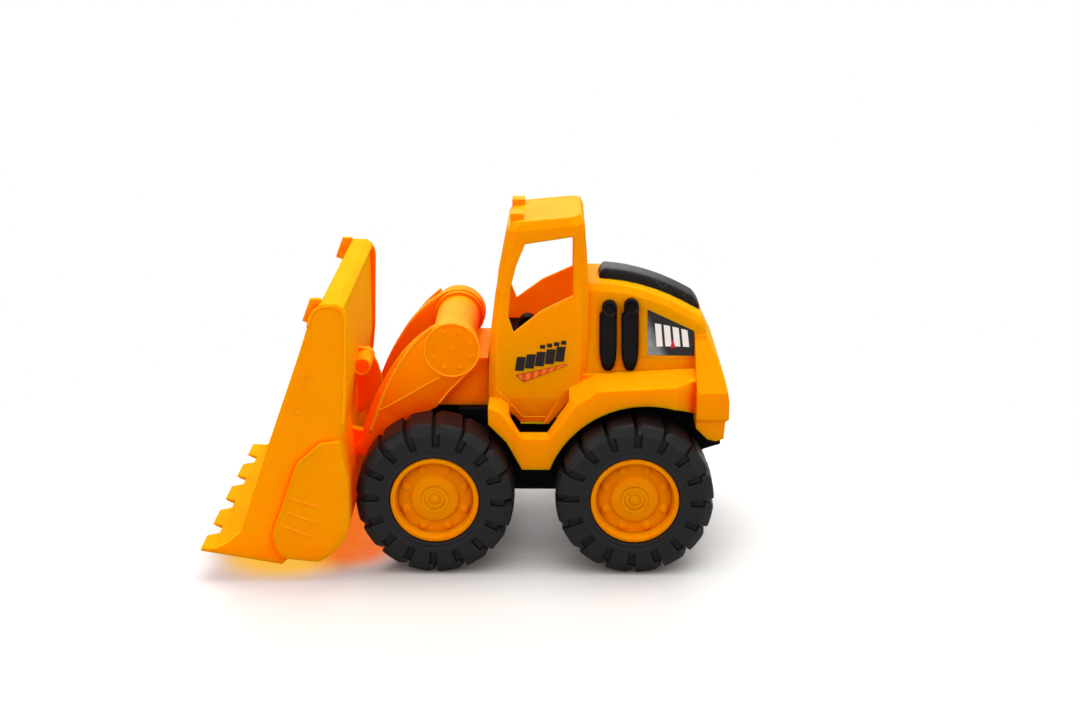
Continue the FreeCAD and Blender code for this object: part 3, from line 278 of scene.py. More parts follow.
# ---------------------------------------------------------------- plastics
# The coloured parts are moulded in orange polypropylene that lets some light through, faintly
# cloudy where the pigment is uneven, with a very fine mould texture, and paler along edges, partly
# from rubbing and partly as a painted highlight. In folds and corners that do not face up a painted
# shade darkens and reddens the colour.
# The pan, axles, pins and the cab's insert are black or dark plastic of the same make.
EDGE_ROUNDING = 0.9
FOLD_REACH = 30


def plastic(name, colour, cloudy, worn_and_highlit, painted_shade, gloss, grain_size, grain_depth):
    """Moulded plastic with pigment clouds, rubbed edges and a fine grain of a size and depth.

    The edges are paler, partly from rubbing and partly as a painted highlight.
    In corners and folds that do not face up the colour turns to a painted shade, darker and redder.
    """
    finish = Finish(name, Roughness=gloss, Specular_IOR_Level=0.015, IOR=1.49)
    clouds = finish.noise(26, detail=3).rise(0.3, 0.7)
    soft_normal = finish.add("ShaderNodeBevel", {"samples": 4}, {"Radius": EDGE_ROUNDING / 1000})
    # Painted shade: where faces shut out the light and the surface does not face up, the colour
    # darkens.
    upward = finish.part(soft_normal, "Z").rise(0.15, 0.8)
    finish.depth = finish.shelter(FOLD_REACH).rise(0.04, 0.75) * (1 - upward * 0.85)
    base = finish.mix(finish.depth, finish.mix(clouds, colour, cloudy), painted_shade)
    hard_normal = finish.add("ShaderNodeNewGeometry", output="Normal")
    normals = {0: soft_normal, 1: hard_normal}
    facing = finish.add("ShaderNodeVectorMath", {"operation": "DOT_PRODUCT"}, normals, "Value")
    # Paler edges: rubbing, and a painted highlight along the rounded edges.
    rubbed_and_highlit = (1 - facing).rise(0.02, 0.3) * finish.noise(3.5, detail=4).rise(0.35, 0.75)
    finish.colour = finish.mix(rubbed_and_highlit * 0.5, base, worn_and_highlit)
    finish.feed(Base_Color=finish.colour)
    finish.feed(Roughness=finish.noise(9, detail=4) * 0.12 + (gloss - 0.06) + rubbed_and_highlit * 0.12)
    return finish.relief(finish.noise(grain_size, detail=1), grain_depth, soft_normal)


def paint_glow_in_folds(finish, red, green, place=1.0):
    """A painted glow of red and green in folds, where place is 1, for light through thin walls."""
    finish.feed(Emission_Color=finish.mix(finish.depth * place, (0, 0, 0, 1), (red, green, 0, 1)))
    finish.shader.inputs["Emission Strength"].default_value = 1.0


def let_light_through(finish, reach):
    """Red travels reach millimetres in the plastic, green a quarter of it, blue hardly at all."""
    finish.shader.inputs["Specular Tint"].default_value = (1.0, 0.6, 0.12, 1)
    finish.shader.inputs["Subsurface Weight"].default_value = 1.0
    finish.shader.inputs["Subsurface Radius"].default_value = (1.0, 0.25, 0.01)
    finish.shader.inputs["Subsurface Scale"].default_value = reach / 1000


# Below, the colours for folds are a painted shade, darker and redder; the worn orange pales the
# edges, partly wear and partly a painted highlight.
ORANGE = (0.94, 0.295, 0.0006, 1)
ORANGE_CLOUD = (0.96, 0.315, 0.001, 1)
ORANGE_WORN_AND_HIGHLIT = (0.98, 0.47, 0.01, 1)
ORANGE_PAINTED_SHADE = (0.99, 0.13, 0.0003, 1)
BUCKET = (0.87, 0.33, 0.0006, 1)
BUCKET_CLOUD = (0.9, 0.35, 0.001, 1)
BUCKET_PAINTED_SHADE = (0.99, 0.10, 0.0003, 1)
ARM = (0.95, 0.27, 0.0006, 1)
ARM_PAINTED_SHADE = (0.99, 0.085, 0.0003, 1)
LIP = (0.93, 0.31, 0.001, 1)
LIP_CLOUD = (0.95, 0.33, 0.001, 1)
RIDGE_PAINTED_HIGHLIGHT = (0.98, 0.34, 0.008, 1)
RIDGE_PAINTED_SHADE = (1.0, 0.22, 0.008, 1)
THIN_PAINTED_GLOW = (0.10, 0.016, 0.0, 1)
GRAIN = (0.5, 0.012)
WALL_REACH = 6
CAB_TAIL = (-0.058, -0.052)  # metres in the toy's own frame, like the next two
CAB_NOSE = (-0.014, -0.008)
CAB_FLOOR = (0.088, 0.1)
orange = plastic("orange_plastic", ORANGE, ORANGE_CLOUD, ORANGE_WORN_AND_HIGHLIT, ORANGE_PAINTED_SHADE, 0.58, *GRAIN)
let_light_through(orange, WALL_REACH)
# A painted glow inside the cab, between its tail and nose and above its floor.
ahead, up = [orange.part(orange.spot(), axis) for axis in "XZ"]
painted_cab_glow = ahead.rise(*CAB_TAIL) * (1 - ahead.rise(*CAB_NOSE)) * up.rise(*CAB_FLOOR)
paint_glow_in_folds(orange, 0.22, 0.075, painted_cab_glow)
matt = plastic("bucket_plastic", BUCKET, BUCKET_CLOUD, ORANGE_WORN_AND_HIGHLIT, BUCKET_PAINTED_SHADE, 0.6, *GRAIN)
let_light_through(matt, WALL_REACH)
matt.shader.inputs["Specular IOR Level"].default_value = 0.002
paint_glow_in_folds(matt, 0.2, 0.01)
arm_plastic = plastic("arm_plastic", ARM, ORANGE, ORANGE_WORN_AND_HIGHLIT, ARM_PAINTED_SHADE, 0.58, *GRAIN)
let_light_through(arm_plastic, WALL_REACH)
paint_glow_in_folds(arm_plastic, 0.16, 0.008)
edge_plastic = plastic("bucket_edge_plastic", LIP, LIP_CLOUD, ORANGE_WORN_AND_HIGHLIT, ORANGE, 0.6, *GRAIN)
# The ridges' pale colour is a painted highlight along the beads.
ridge = plastic("ridge_plastic", RIDGE_PAINTED_HIGHLIGHT, RIDGE_PAINTED_HIGHLIGHT, ORANGE_WORN_AND_HIGHLIT, RIDGE_PAINTED_SHADE, 0.55, 0.5, 0.008)
# A painted glow: thin edges and ridges give off a faint orange light.
for thin in (edge_plastic, ridge):
    thin.shader.inputs["Emission Color"].default_value = THIN_PAINTED_GLOW
    thin.shader.inputs["Emission Strength"].default_value = 1.0

# The last colour is a painted shade for folds and corners; the third pales the edges, partly wear
# and partly a painted highlight.
BLACKS = (shade(21, 19, 18), shade(27, 24, 23), shade(84, 80, 77), shade(10, 9, 9))
BLACK_GRAIN = (0.6, 0.02)
black = plastic("black_plastic", *BLACKS, 0.5, *BLACK_GRAIN)


def dress(node, finish):
    """Gives a CAD node that is shown as it is its finish."""
    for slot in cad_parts[node].material_slots:
        slot.material = finish.material


for node in ("body_shell", "arm_bracket"):
    dress(node, orange)
dress("bucket", matt)
for node in ("chassis", "front_axle", "rear_axle", "arm_pivot_pin", "bucket_pin"):
    dress(node, black)

# The last colour is a painted shade for folds and corners; the third pales the edges, partly wear
# and partly a painted highlight.
INSERT_BROWNS = (shade(44, 17, 13), shade(52, 21, 16), shade(90, 40, 30), shade(20, 7, 6))
PITS_PER_METRE = 620
insert = plastic("insert_plastic", *INSERT_BROWNS, 0.6, *BLACK_GRAIN)
insert.shader.inputs["Specular IOR Level"].default_value = 0.01
# Rows of small pits cover the insert, one in each cell of a grid.
east, north, up = [insert.part(insert.spot(), axis) for axis in "XYZ"]
cells = [(place * PITS_PER_METRE).math("FRACT") - 0.5 for place in (east, north + up)]
pits = 1 - (cells[0] * cells[0] + cells[1] * cells[1]).rise(0.05, 0.12)
insert.feed(Base_Color=insert.mix(pits * 0.75, insert.colour, shade(14, 5, 5)))
dress("cab_insert", insert)


# ---------------------------------------------------------------- tyres
# Four hard black rubber tyres with sixteen lugs. Each gap in the tread is a narrow slot with one
# slanting flank, and carries on down the side wall as a square notch; the wall is smooth below it.
def eased(corners, steps=4):
    """A closed outline with each corner (a, b, r) rounded from r before it to r after it.

    On each corner runs the parabola (1-t)^2 P + 2t(1-t) C + t^2 Q, from P to Q with the corner C.
    """
    corners = np.array(corners, float)
    middle, reach = corners[:, None, :2], corners[:, None, 2:]
    toward = [np.roll(corners[:, :2], turn, axis=0)[:, None] - middle for turn in (1, -1)]
    before, after = [
        middle + reach * way / np.linalg.norm(way, axis=2, keepdims=True) for way in toward
    ]
    t = np.linspace(0, 1, steps)[None, :, None]
    return ((1 - t) ** 2 * before + 2 * t * (1 - t) * middle + t**2 * after).reshape(-1, 2)


def quads(index):
    """Faces of four between neighbours in a grid of point numbers."""
    corners = [index[:-1, :-1], index[:-1, 1:], index[1:, 1:], index[1:, :-1]]
    return np.stack(corners, -1).reshape(-1, 4)


def skin(name, grids, finish, body, loop=False, sharp=None):
    """One mesh of closed skins, each over a grid of points, rows by columns.

    Columns join into a ring; rows join into a loop, or else the first and last rows are filled.
    A skin whose faces point inwards, which its signed volume tells, is turned inside out.
    """
    spots, faces, first = [], [], 0
    for grid in grids:
        rows, columns = grid.shape[:2]
        index = first + np.arange(rows * columns).reshape(rows, columns)
        rims = [] if loop else [index[0, ::-1].tolist(), index[-1].tolist()]
        index = np.hstack([index, index[:, :1]])
        if loop:
            index = np.vstack([index, index[:1]])
        flat = grid.reshape(-1, 3)
        corner = flat[quads(index) - first]
        crossed = np.cross(corner[:, 2] - corner[:, 0], corner[:, 3] - corner[:, 1])
        volume = np.einsum("ij,ij->", corner.mean(axis=1) - flat.mean(axis=0), crossed)
        own = quads(index).tolist() + rims
        faces += [face[::-1] for face in own] if volume < 0 else own
        spots.append(flat)
        first += len(flat)
    piece = mesh_piece(name, np.concatenate(spots), faces)
    if sharp is not None:
        piece.data.set_sharp_from_angle(angle=math.radians(sharp))
    piece.data.materials.append(finish.material)
    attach(piece, body)
    return piece


def across(x, y, z):
    """Points (x, y, z) from arrays that broadcast together."""
    return np.stack(np.broadcast_arrays(x, y, z), -1).astype(float)


def soft_step(value, low, high):
    """0 below low and 1 above high, with t^2 (3 - 2t) between."""
    t = np.clip((value - low) / (high - low), 0, 1)
    return t * t * (3 - 2 * t)


SIGN = {"left": 1, "right": -1}
WHEELS = [(axle, side) for axle in ("front", "rear") for side in SIGN]
TYRE_FACE_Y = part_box("front_tyre_left")[1].y * 1000
TYRE_RADIUS = 35.0
TYRE_WIDTH = 23.1
LUGS = 16
GROOVE_HALF = 0.62
GROOVE_DEPTH = 2.8
FLANK_LENGTH = 2.7
FLANK_DEPTH = 1.35
GROOVE_SLANT = 0.9
NOTCH_ENDS = (24.9, 31.4)
NOTCH_DEPTH = 2.2
CROWN_HEIGHT = 0.25

rubber = Finish("tyre_rubber", Roughness=0.5, Specular_IOR_Level=0.2)
dust = rubber.noise(7, detail=5).rise(0.45, 0.85) * rubber.noise(1.2, detail=2).rise(0.4, 0.8)
worn_rubber = rubber.mix(dust * 0.3, shade(18, 15, 15), shade(54, 51, 49))
# Painted shade: the colour darkens to near black in notches and slots, where faces shut out light.
rubber.feed(Base_Color=rubber.mix(rubber.shelter(5).rise(0.1, 0.42), worn_rubber, shade(10, 9, 9)))
rubber.feed(Roughness=rubber.noise(5, detail=3) * 0.16 + 0.42 + dust * 0.15)
rubber.relief(rubber.noise(0.5, detail=2) + rubber.noise(4, detail=2) * 0.6, 0.03)
rubber.shader.inputs["Specular Tint"].default_value = (0.9, 0.95, 1.0, 1)


def wheel_centre(axle, side):
    """Station and height of a wheel's middle, from the box of its tyre in the CAD model."""
    low, high = (corner * 1000 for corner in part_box(f"{axle}_tyre_{side}"))
    return (low.x + high.x) / 2 - AXLE_X, (low.z + high.z) / 2


def turned(profile, angles, centre, side):
    """Points of a profile (radius, depth behind the tyre's outer face) at angles about the axle.

    x = cx + r sin a, z = cz + r cos a and y = face - depth, mirrored for the right side.
    """
    radius, depth = profile[..., 0], profile[..., 1]
    x = centre[0] + radius * np.sin(angles)
    z = centre[1] + radius * np.cos(angles)
    return across(x, SIGN[side] * (TYRE_FACE_Y - depth), z)


def round_angles(count):
    """Even angles round a full turn, as one row."""
    return np.linspace(0, 2 * math.pi, count, endpoint=False)[None, :]


def tyre_grid(centre, side):
    """Rows follow the ring's section, columns go round it.

    Let s be the way along the tread from the middle of a slot. The tread sinks to the slot's floor
    for |s| under the slot's half width, and on one side of it by a share of the flank's depth that
    falls evenly over the flank's length. Across the tread the slots run at a slant, and the tread
    is crowned by half a sine. On the wall a notch as wide as slot and flank sinks between its ends.
    """
    low, high = NOTCH_ENDS
    bead_seat = [
        (18.5, TYRE_WIDTH, 0.4), (18.5, 3.6, 0.3), (20, 3.2, 0.3), (20, 0.2, 0.5),
        (21.2, 0, 0.4), (22.2, 0.35, 0.3), (23.2, 0, 0.3),
    ]
    wall = [
        (low - 0.35, 0, 0.1), (low + 0.35, 0, 0.1), (26.6, 0, 0.1), (28, 0, 0.1),
        (high - 0.9, 0, 0.15), (high, 0.32, 0.2),
    ]
    tread = [
        (TYRE_RADIUS, 2.5, 1.4), (TYRE_RADIUS, 7, 0.3), (TYRE_RADIUS, 14, 0.3),
        (TYRE_RADIUS, 21.7, 0.8),
    ]
    section = eased(bead_seat + wall + tread + [(33.6, TYRE_WIDTH, 0.6), (26, TYRE_WIDTH, 0.3)])
    way = np.array([
        -6.1, -5.0, -4.0, -3.5, -3.2, -2.9, -2.2, -1.4, -0.9, -GROOVE_HALF, -0.4, 0,
        0.4, GROOVE_HALF, 0.9, 1.3, 2.2, 4.2,
    ])
    reach = np.tile(way, LUGS)[None, :]
    radius, depth = section[:, :1], section[:, 1:]
    pitch = 2 * math.pi / LUGS
    angles = (np.arange(LUGS)[:, None] * pitch + way / TYRE_RADIUS).ravel()[None, :]
    angles = angles + GROOVE_SLANT / TYRE_RADIUS * soft_step(depth, 2.5, 20)
    slot = 1 - soft_step(np.abs(reach), GROOVE_HALF - 0.2, GROOVE_HALF + 0.2)
    end = -GROOVE_HALF - FLANK_LENGTH
    flank = np.clip((reach - end) / FLANK_LENGTH, 0, 1) * (reach < GROOVE_HALF)
    sink = np.maximum(slot * GROOVE_DEPTH, flank * FLANK_DEPTH)
    sunk_radius = np.where(radius > high, np.maximum(radius - sink, high - 0.2), radius)
    notch = soft_step(reach, end - 0.1, end + 0.3)
    notch = notch * (1 - soft_step(reach, GROOVE_HALF - 0.1, GROOVE_HALF + 0.3))
    notch = notch * soft_step(radius, low - 0.3, low + 0.3)
    notch = notch * (1 - soft_step(radius, high - 0.9, high - 0.1) * (1 - slot))
    sunk_depth = depth + notch * (depth < 2.5) * np.maximum(NOTCH_DEPTH - depth, 0)
    over_tread = np.clip((depth - 2.5) / (TYRE_WIDTH - 4), 0, 1)
    crown = CROWN_HEIGHT * np.sin(np.pi * over_tread) * (radius > 34)
    profile = np.stack([sunk_radius - CROWN_HEIGHT + crown, sunk_depth + 0 * crown], -1)
    return turned(profile, SIGN[side] * angles, centre, side)


for axle, side in WHEELS:
    grid = tyre_grid(wheel_centre(axle, side), side)
    tyre = skin(f"{axle}_tyre_tread_{side}", [grid], rubber, f"{axle}_wheels", loop=True)
    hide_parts(f"{axle}_tyre_{side}")


# ---------------------------------------------------------------- rims and hub caps
# Orange rims moulded in one piece: a rolled flange, a dish with eight bolt heads, and a hub disc
# with a raised ring, in which a domed cap hides the end of the axle.
BOLT_CIRCLE = 14.0
BOLT_COUNT = 8
BOLT_RADIUS = 2.2
BOLT_HEIGHT = 1.0
DISH_DEPTH = 4.5
CAP_RADIUS = 2.3


def to_nearest(count, circle_radius, angles, radius):
    """Distance from points (radius, angle) to the nearest of count spots on a circle.

    It is sqrt((a r)^2 + (r - R)^2), with a the angle from that spot and R the circle's radius.
    """
    turn = (angles * count / (2 * math.pi)) % 1 - 0.5
    return np.hypot(turn * 2 * math.pi / count * radius, radius - circle_radius)


def rim_grid(centre, side):
    """Rows follow the rim's section, columns go round it.

    With d from a bolt's middle, in bolt radii, its head rises from the dish by (1 - d^2)^0.7.
    """
    flange = [
        (18.2, 22.1, 0.2), (18.2, 3.4, 0.3), (19.4, 3.1, 0.3), (19.4, 0.4, 0.5), (17.4, 0.3, 0.45),
        (17.1, 1.4, 0.3), (16.9, 4.3, 0.7),
    ]
    dish = [(radius, DISH_DEPTH, 0.1) for radius in np.linspace(16.2, 12.2, 11).round(1)]
    hub_disc = [
        (11.0, 4.3, 0.5), (10.1, 2.9, 0.5), (6.4, 2.4, 0.5), (5.7, 2.0, 0.4), (4.9, 2.0, 0.4),
        (4.2, 2.35, 0.4), (3.3, 2.2, 0.3), (2.4, 2.05, 0.2),
    ]
    back = [(2.4, 6.8, 0.3), (16.1, 6.8, 0.4), (16.1, 22.1, 0.3)]
    section = eased(flange + dish + hub_disc + back, steps=3)
    angles = round_angles(33 * BOLT_COUNT)
    radius, depth = section[:, :1], section[:, 1:]
    distance = to_nearest(BOLT_COUNT, BOLT_CIRCLE, angles, radius) / BOLT_RADIUS
    head = BOLT_HEIGHT * np.clip(1 - distance**2, 0, 1) ** 0.7 * (depth < DISH_DEPTH + 0.5)
    return turned(np.stack([radius + 0 * head, depth - head], -1), angles, centre, side)


def cap_grid(centre, side):
    """A dome whose height falls with the radius to the power 2.2, and a short upright wall."""
    radius = np.array([0.02, 0.5, 1.0, 1.5, 1.9, 2.15, 2.28, CAP_RADIUS, CAP_RADIUS])[:, None]
    depth = 1.45 + 0.5 * (radius / CAP_RADIUS) ** 2.2
    depth[-1] = 2.6
    angles = round_angles(48)
    return turned(np.stack([radius + 0 * angles, depth + 0 * angles], -1), angles, centre, side)


# The rim's colour for its dish and folds is a painted shade; its pale edge colour is partly wear
# and partly a painted highlight.
RIM = (0.80, 0.265, 0.0006, 1)
RIM_CLOUD = (0.83, 0.285, 0.001, 1)
RIM_WORN_AND_HIGHLIT = (0.92, 0.42, 0.01, 1)
RIM_PAINTED_SHADE = (0.68, 0.09, 0.0003, 1)
rim_plastic = plastic("rim_plastic", RIM, RIM_CLOUD, RIM_WORN_AND_HIGHLIT, RIM_PAINTED_SHADE, 0.55, *GRAIN)
let_light_through(rim_plastic, 1.2)
for axle, side in WHEELS:
    centre, body = wheel_centre(axle, side), f"{axle}_wheels"
    rim = skin(f"{axle}_rim_dish_{side}", [rim_grid(centre, side)], rim_plastic, body, loop=True)
    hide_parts(f"{axle}_rim_{side}")
    cap = skin(f"{axle}_hub_dome_{side}", [cap_grid(centre, side)], rim_plastic, body)
    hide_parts(f"{axle}_hub_cap_{side}")


# ---------------------------------------------------------------- lift arms
# Two orange cheeks that turn on the drum. The outer face is flat above a crease and slopes inwards
# below it. Each ends in a round boss with a raised rim, eight small studs and one in the middle.
ARM_INNER_Y = 26.0
ARM_OUTER_Y = 32.9
ARM_SLOPE = 2.2
ARM_ROWS = 60
BOSS_RADIUS = 12.5
STUD_COUNT = 8
STUD_CIRCLE = 8.7
STUD_RADIUS = 1.05
MIDDLE_STUD_RADIUS = 1.2
STUD_HEIGHT = 0.6
PIVOT = (-7.1, 97.0)
TILT = (31.0, 51.5)


def arc(start, end, radius, turn, count):
    """Points on a circular arc from start to end, turning left for +1 and right for -1.

    The centre stands on the chord's middle normal, sqrt(r^2 - c^2 / 4) from the chord.
    """
    start, end = np.array(start, float), np.array(end, float)
    chord = end - start
    length = np.hypot(*chord)
    normal = np.array([-chord[1], chord[0]]) / length
    centre = (start + end) / 2 + normal * turn * math.sqrt(radius**2 - length**2 / 4)
    first, last = [math.atan2(*(spot - centre)[::-1]) for spot in (start, end)]
    sweep = (last - first) * turn % (2 * math.pi) * turn
    angles = first + sweep * np.linspace(0, 1, count)
    return centre + radius * np.stack([np.cos(angles), np.sin(angles)], -1)


def along(points, count):
    """count points at even steps along a polyline."""
    points = np.array(points, float)
    travel = np.concatenate([[0], np.cumsum(np.hypot(*np.diff(points, axis=0).T))])
    even = np.linspace(0, travel[-1], count)
    return np.stack([np.interp(even, travel, points[:, axis]) for axis in (0, 1)], -1)


def on_boss(degrees, radius=BOSS_RADIUS):
    """The point of the boss's edge at an angle from straight ahead, upwards positive."""
    turn = math.radians(degrees)
    return PIVOT[0] + radius * math.cos(turn), PIVOT[1] + radius * math.sin(turn)


def arm_grid(side):
    """Rows run from boss to tip, columns go round the arm's section.

    The section is the inner face, the front edge, the flat outer face as far as the crease, and
    the lower face, which leans in by the slope; all four corners are eased.
    """
    knee = (20.5, 86.8)
    toe = (TILT[0] + 3.43, TILT[1] + 3.92)
    front = np.concatenate([arc(on_boss(63), knee, 55, -1, 12), arc(knee, toe, 105, -1, 14)[1:]])
    front = np.concatenate([front, [(37.1, 50.5), (34.6, 46.8), (31.5, 46.7)]])
    back = [on_boss(231), (-5.1, 77.5), (-0.1, 70.0), (22.0, 57.0), (28.55, 46.7), (29.6, 46.7)]
    crease = [
        on_boss(237, 12.0), (-1.8, 84.9), (7.2, 79.6), (20.7, 71.9), (26.5, 69.4), (27.6, 60.0),
        (30.4, 47.6),
    ]
    front, back, crease = [along(line, ARM_ROWS) for line in (front, back, crease)]
    inner, outer, low = ARM_INNER_Y, ARM_OUTER_Y, ARM_OUTER_Y - ARM_SLOPE
    inward = (back - front) / np.linalg.norm(back - front, axis=1, keepdims=True)
    edge = 0.45
    ring = [
        (front + inward * edge, inner), (front, inner + edge), (front, outer - 1.2),
        (front + inward * 0.25, outer - 0.9), (front + inward * 1.6, outer - 0.1),
        (front + inward * 2.0, outer), (crease - inward * 0.5, outer), (crease, outer - 0.08),
        (crease + inward * 0.5, outer - 0.3), (back - inward * edge, low), (back, low - edge),
        (back, inner + edge), (back - inward * edge, inner),
    ]
    columns = [across(points[:, 0], SIGN[side] * y, points[:, 1]) for points, y in ring]
    return np.stack(columns, axis=1)


def wall_at(y):
    """A flat side wall at a distance from the middle, as the surface that swept asks for."""
    return lambda x, z: y


def swept(path, section, surface, side, closed=False):
    """A section of (aside, proud) carried along a path of (x, z) that lies on a side wall.

    aside runs square to the path in the side's plane; y is surface(x, z), the wall's own distance
    from the middle, plus proud. The path's way at a point is that from one neighbour to the next.
    """
    path, section = np.array(path, float), np.array(section, float)
    if closed:
        way = np.roll(path, -1, axis=0) - np.roll(path, 1, axis=0)
    else:
        way = np.gradient(path, axis=0)
    way /= np.linalg.norm(way, axis=1, keepdims=True)
    square = np.stack([-way[:, 1], way[:, 0]], -1)
    spots = path[:, None] + square[:, None] * section[None, :, :1]
    x, z = spots[..., 0], spots[..., 1]
    return across(x, SIGN[side] * (surface(x, z) + section[None, :, 1]), z)


BEAD_FOOT = 0.25


def bead(half, height):
    """A rounded ridge's section: half cos a aside, height sin a proud, on a foot in the wall."""
    turn = np.linspace(0, math.pi, 7)
    arch = np.stack([half * np.cos(turn), height * np.sin(turn)], -1)
    return np.concatenate([[(half, -BEAD_FOOT)], arch, [(-half, -BEAD_FOOT)]])


def smooth(points, count):
    """count points on a curve near a polyline: three rounds of averaging with the neighbours."""
    line = along(points, count)
    for _ in range(3):
        line[1:-1] = (line[:-2] + 2 * line[1:-1] + line[2:]) / 4
    return line


def circle(centre, radius, count):
    """count points round a circle of (x, z)."""
    turn = np.linspace(0, 2 * math.pi, count, endpoint=False)
    return np.stack([centre[0] + radius * np.cos(turn), centre[1] + radius * np.sin(turn)], -1)


def boss_grid(side):
    """A disc about the pivot, from the middle of its outer face to the middle of its back.

    With d from a stud's middle, in stud radii, the face rises there by (1 - d^2)^0.6.
    """
    edge = [11.35, 11.6, 11.9, 12.2, 12.4, BOSS_RADIUS]
    back = [BOSS_RADIUS, 12.1, 6, 0.02]
    radius = np.concatenate([[0.02], np.arange(0.4, 11.3, 0.3), edge, back])[:, None]
    angles = round_angles(256)
    face = ARM_OUTER_Y + 0.1 - 0.15 * soft_step(radius, 11.9, BOSS_RADIUS)
    distance = to_nearest(STUD_COUNT, STUD_CIRCLE, angles, radius) / STUD_RADIUS
    studs = np.clip(1 - distance**2, 0, 1) + np.clip(1 - (radius / MIDDLE_STUD_RADIUS) ** 2, 0, 1)
    y = face + STUD_HEIGHT * studs**0.6
    y[-len(back):] = np.array([ARM_OUTER_Y - 0.4, ARM_INNER_Y, ARM_INNER_Y, ARM_INNER_Y])[:, None]
    x = PIVOT[0] + radius * np.cos(angles)
    return across(x, SIGN[side] * y, PIVOT[1] + radius * np.sin(angles))


ARM_CREASE = [(-1.5, 84.3), (6.0, 80.1), (12.6, 76.1), (19.7, 72.0), (24.1, 69.6), (26.6, 68.9)]
ARM_FRONT = [
    (1.5, 107.4), (6.0, 103.6), (11.0, 98.2), (16.2, 90.8), (20.6, 82.9), (24.0, 75.2),
    (26.6, 68.3), (30.0, 58.3),
]
ARM_REAR_EDGE = [(-14.0, 86.2), (-10.0, 82.1), (-5.0, 77.0), (-0.6, 71.2)]
arm_face, arm_low_face = wall_at(ARM_OUTER_Y), wall_at(ARM_OUTER_Y - ARM_SLOPE)
for side in SIGN:
    arm = skin(f"arm_cheek_{side}", [arm_grid(side)], arm_plastic, "lift_arms", sharp=40)
    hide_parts(f"lift_arm_{side}")
    skin(f"arm_boss_{side}", [boss_grid(side)], arm_plastic, "lift_arms", sharp=40)
    ridges = [
        swept(smooth(ARM_CREASE, 40), bead(0.4, 0.2), arm_face, side),
        swept(smooth(ARM_FRONT, 40), bead(0.75, 0.14), arm_face, side),
        swept(smooth(ARM_REAR_EDGE, 24), bead(0.42, 0.3), arm_low_face, side),
    ]
    skin(f"arm_ridges_{side}", ridges, ridge, "lift_arms")
    ring = swept(circle(PIVOT, 12.05, 128), bead(0.45, 0.5), arm_face, side, closed=True)
    skin(f"arm_boss_ring_{side}", [ring], ridge, "lift_arms", loop=True)


# ---------------------------------------------------------------- exhaust stacks
# Four black plastic stacks that clip onto the hood's sides: a rounded bar that tapers to its foot,
# a shoulder near the top on the side towards the cab, and a round mouth that opens outwards.
STACK_STATIONS = {"front": -76.1, "rear": -85.8}
STACK_TOPS = {"front": 30.6, "rear": 31.3}
HOOD_LOW_Z = 86.0
HOOD_HALF = 29.6
HOOD_LEAN = 0.244
STACK_LOW_Z = 86.8
STACK_HALF = 3.85
STACK_DEPTH = 3.6
STACK_TAPER = 11
STACK_HEAD = 3.3
STACK_STEP = 1.1


def hood_side(x, z):
    """How far the hood's side stands from the middle at (x, z): it leans in evenly with height."""
    return HOOD_HALF - (z - HOOD_LOW_Z) * HOOD_LEAN


def stack_grid(station, top, side):
    """Rows climb the bar, columns follow half of a squashed circle from front edge to back edge.

    The section's offset from the hood is depth sin(a)^0.55 and its place along the toy is the half
    width times cos(a). With t the share of the taper, the half width goes with (1 - (1-t)^2)^0.36;
    above the shoulder the front edge steps back, and the top is a half circle.
    """
    foot = 0.02 + STACK_TAPER * np.linspace(0, 1, 18) ** 2
    height = np.concatenate([foot, np.linspace(12, 23.6, 5), np.linspace(24.2, top, 26)])
    share = np.clip(height / STACK_TAPER, 0, 1)
    back = STACK_HALF * (1 - (1 - share) ** 2) ** 0.36
    front = back - STACK_STEP * soft_step(height, 24.4, 25.6)
    over = np.clip((height - (top - STACK_HEAD)) / STACK_HEAD, 0, 1)
    cap = np.sqrt(np.clip(1 - over**2, 0.0004, 1))
    half = (back + front) / 2 * cap
    toe = np.clip(height / 5, 0, 1)
    depth = STACK_DEPTH * (1 - (1 - toe) ** 2) ** 0.5 * np.where(over > 0, cap**0.4, 1)
    angles = np.linspace(0, math.pi, 19)
    x = station + (np.cos(angles)[None, :] * half[:, None] + (front - back)[:, None] / 2)
    z = STACK_LOW_Z + height[:, None]
    proud = np.sin(angles)[None, :] ** 0.55 * depth[:, None] - 0.02
    return across(x, SIGN[side] * (hood_side(x, z) + proud), z)


def mouth_grid(station, top, side):
    """A short pipe at the stack's head: outside, rolled edge and a dark hollow inside it."""
    profile = np.array([
        (3.25, 0.0), (3.3, 3.5), (3.25, 4.0), (3.0, 4.3), (2.7, 4.3), (2.5, 4.0), (2.35, 2.2),
        (1.2, 1.9), (0.02, 1.9),
    ])
    radius, proud = profile[:, :1], profile[:, 1:]
    angles = round_angles(48)
    x = station - STACK_STEP / 2 + radius * np.cos(angles)
    z = STACK_LOW_Z + top - 3.4 + radius * 1.05 * np.sin(angles)
    return across(x, SIGN[side] * (hood_side(x, z) + proud), z)


# The last colour is a painted shade for folds and corners; the third pales the edges, partly wear
# and partly a painted highlight.
STACK_BLACKS = (shade(20, 18, 19), shade(26, 24, 24), shade(112, 108, 104), shade(8, 7, 7))
stack_plastic = plastic("stack_plastic", *STACK_BLACKS, 0.42, *BLACK_GRAIN)
for place, station in STACK_STATIONS.items():
    for side in SIGN:
        grids = [shape(station, STACK_TOPS[place], side) for shape in (stack_grid, mouth_grid)]
        stack = skin(f"stack_{place}_pipe_{side}", grids, stack_plastic, "vehicle", sharp=50)
        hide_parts(f"stack_{place}_{side}")


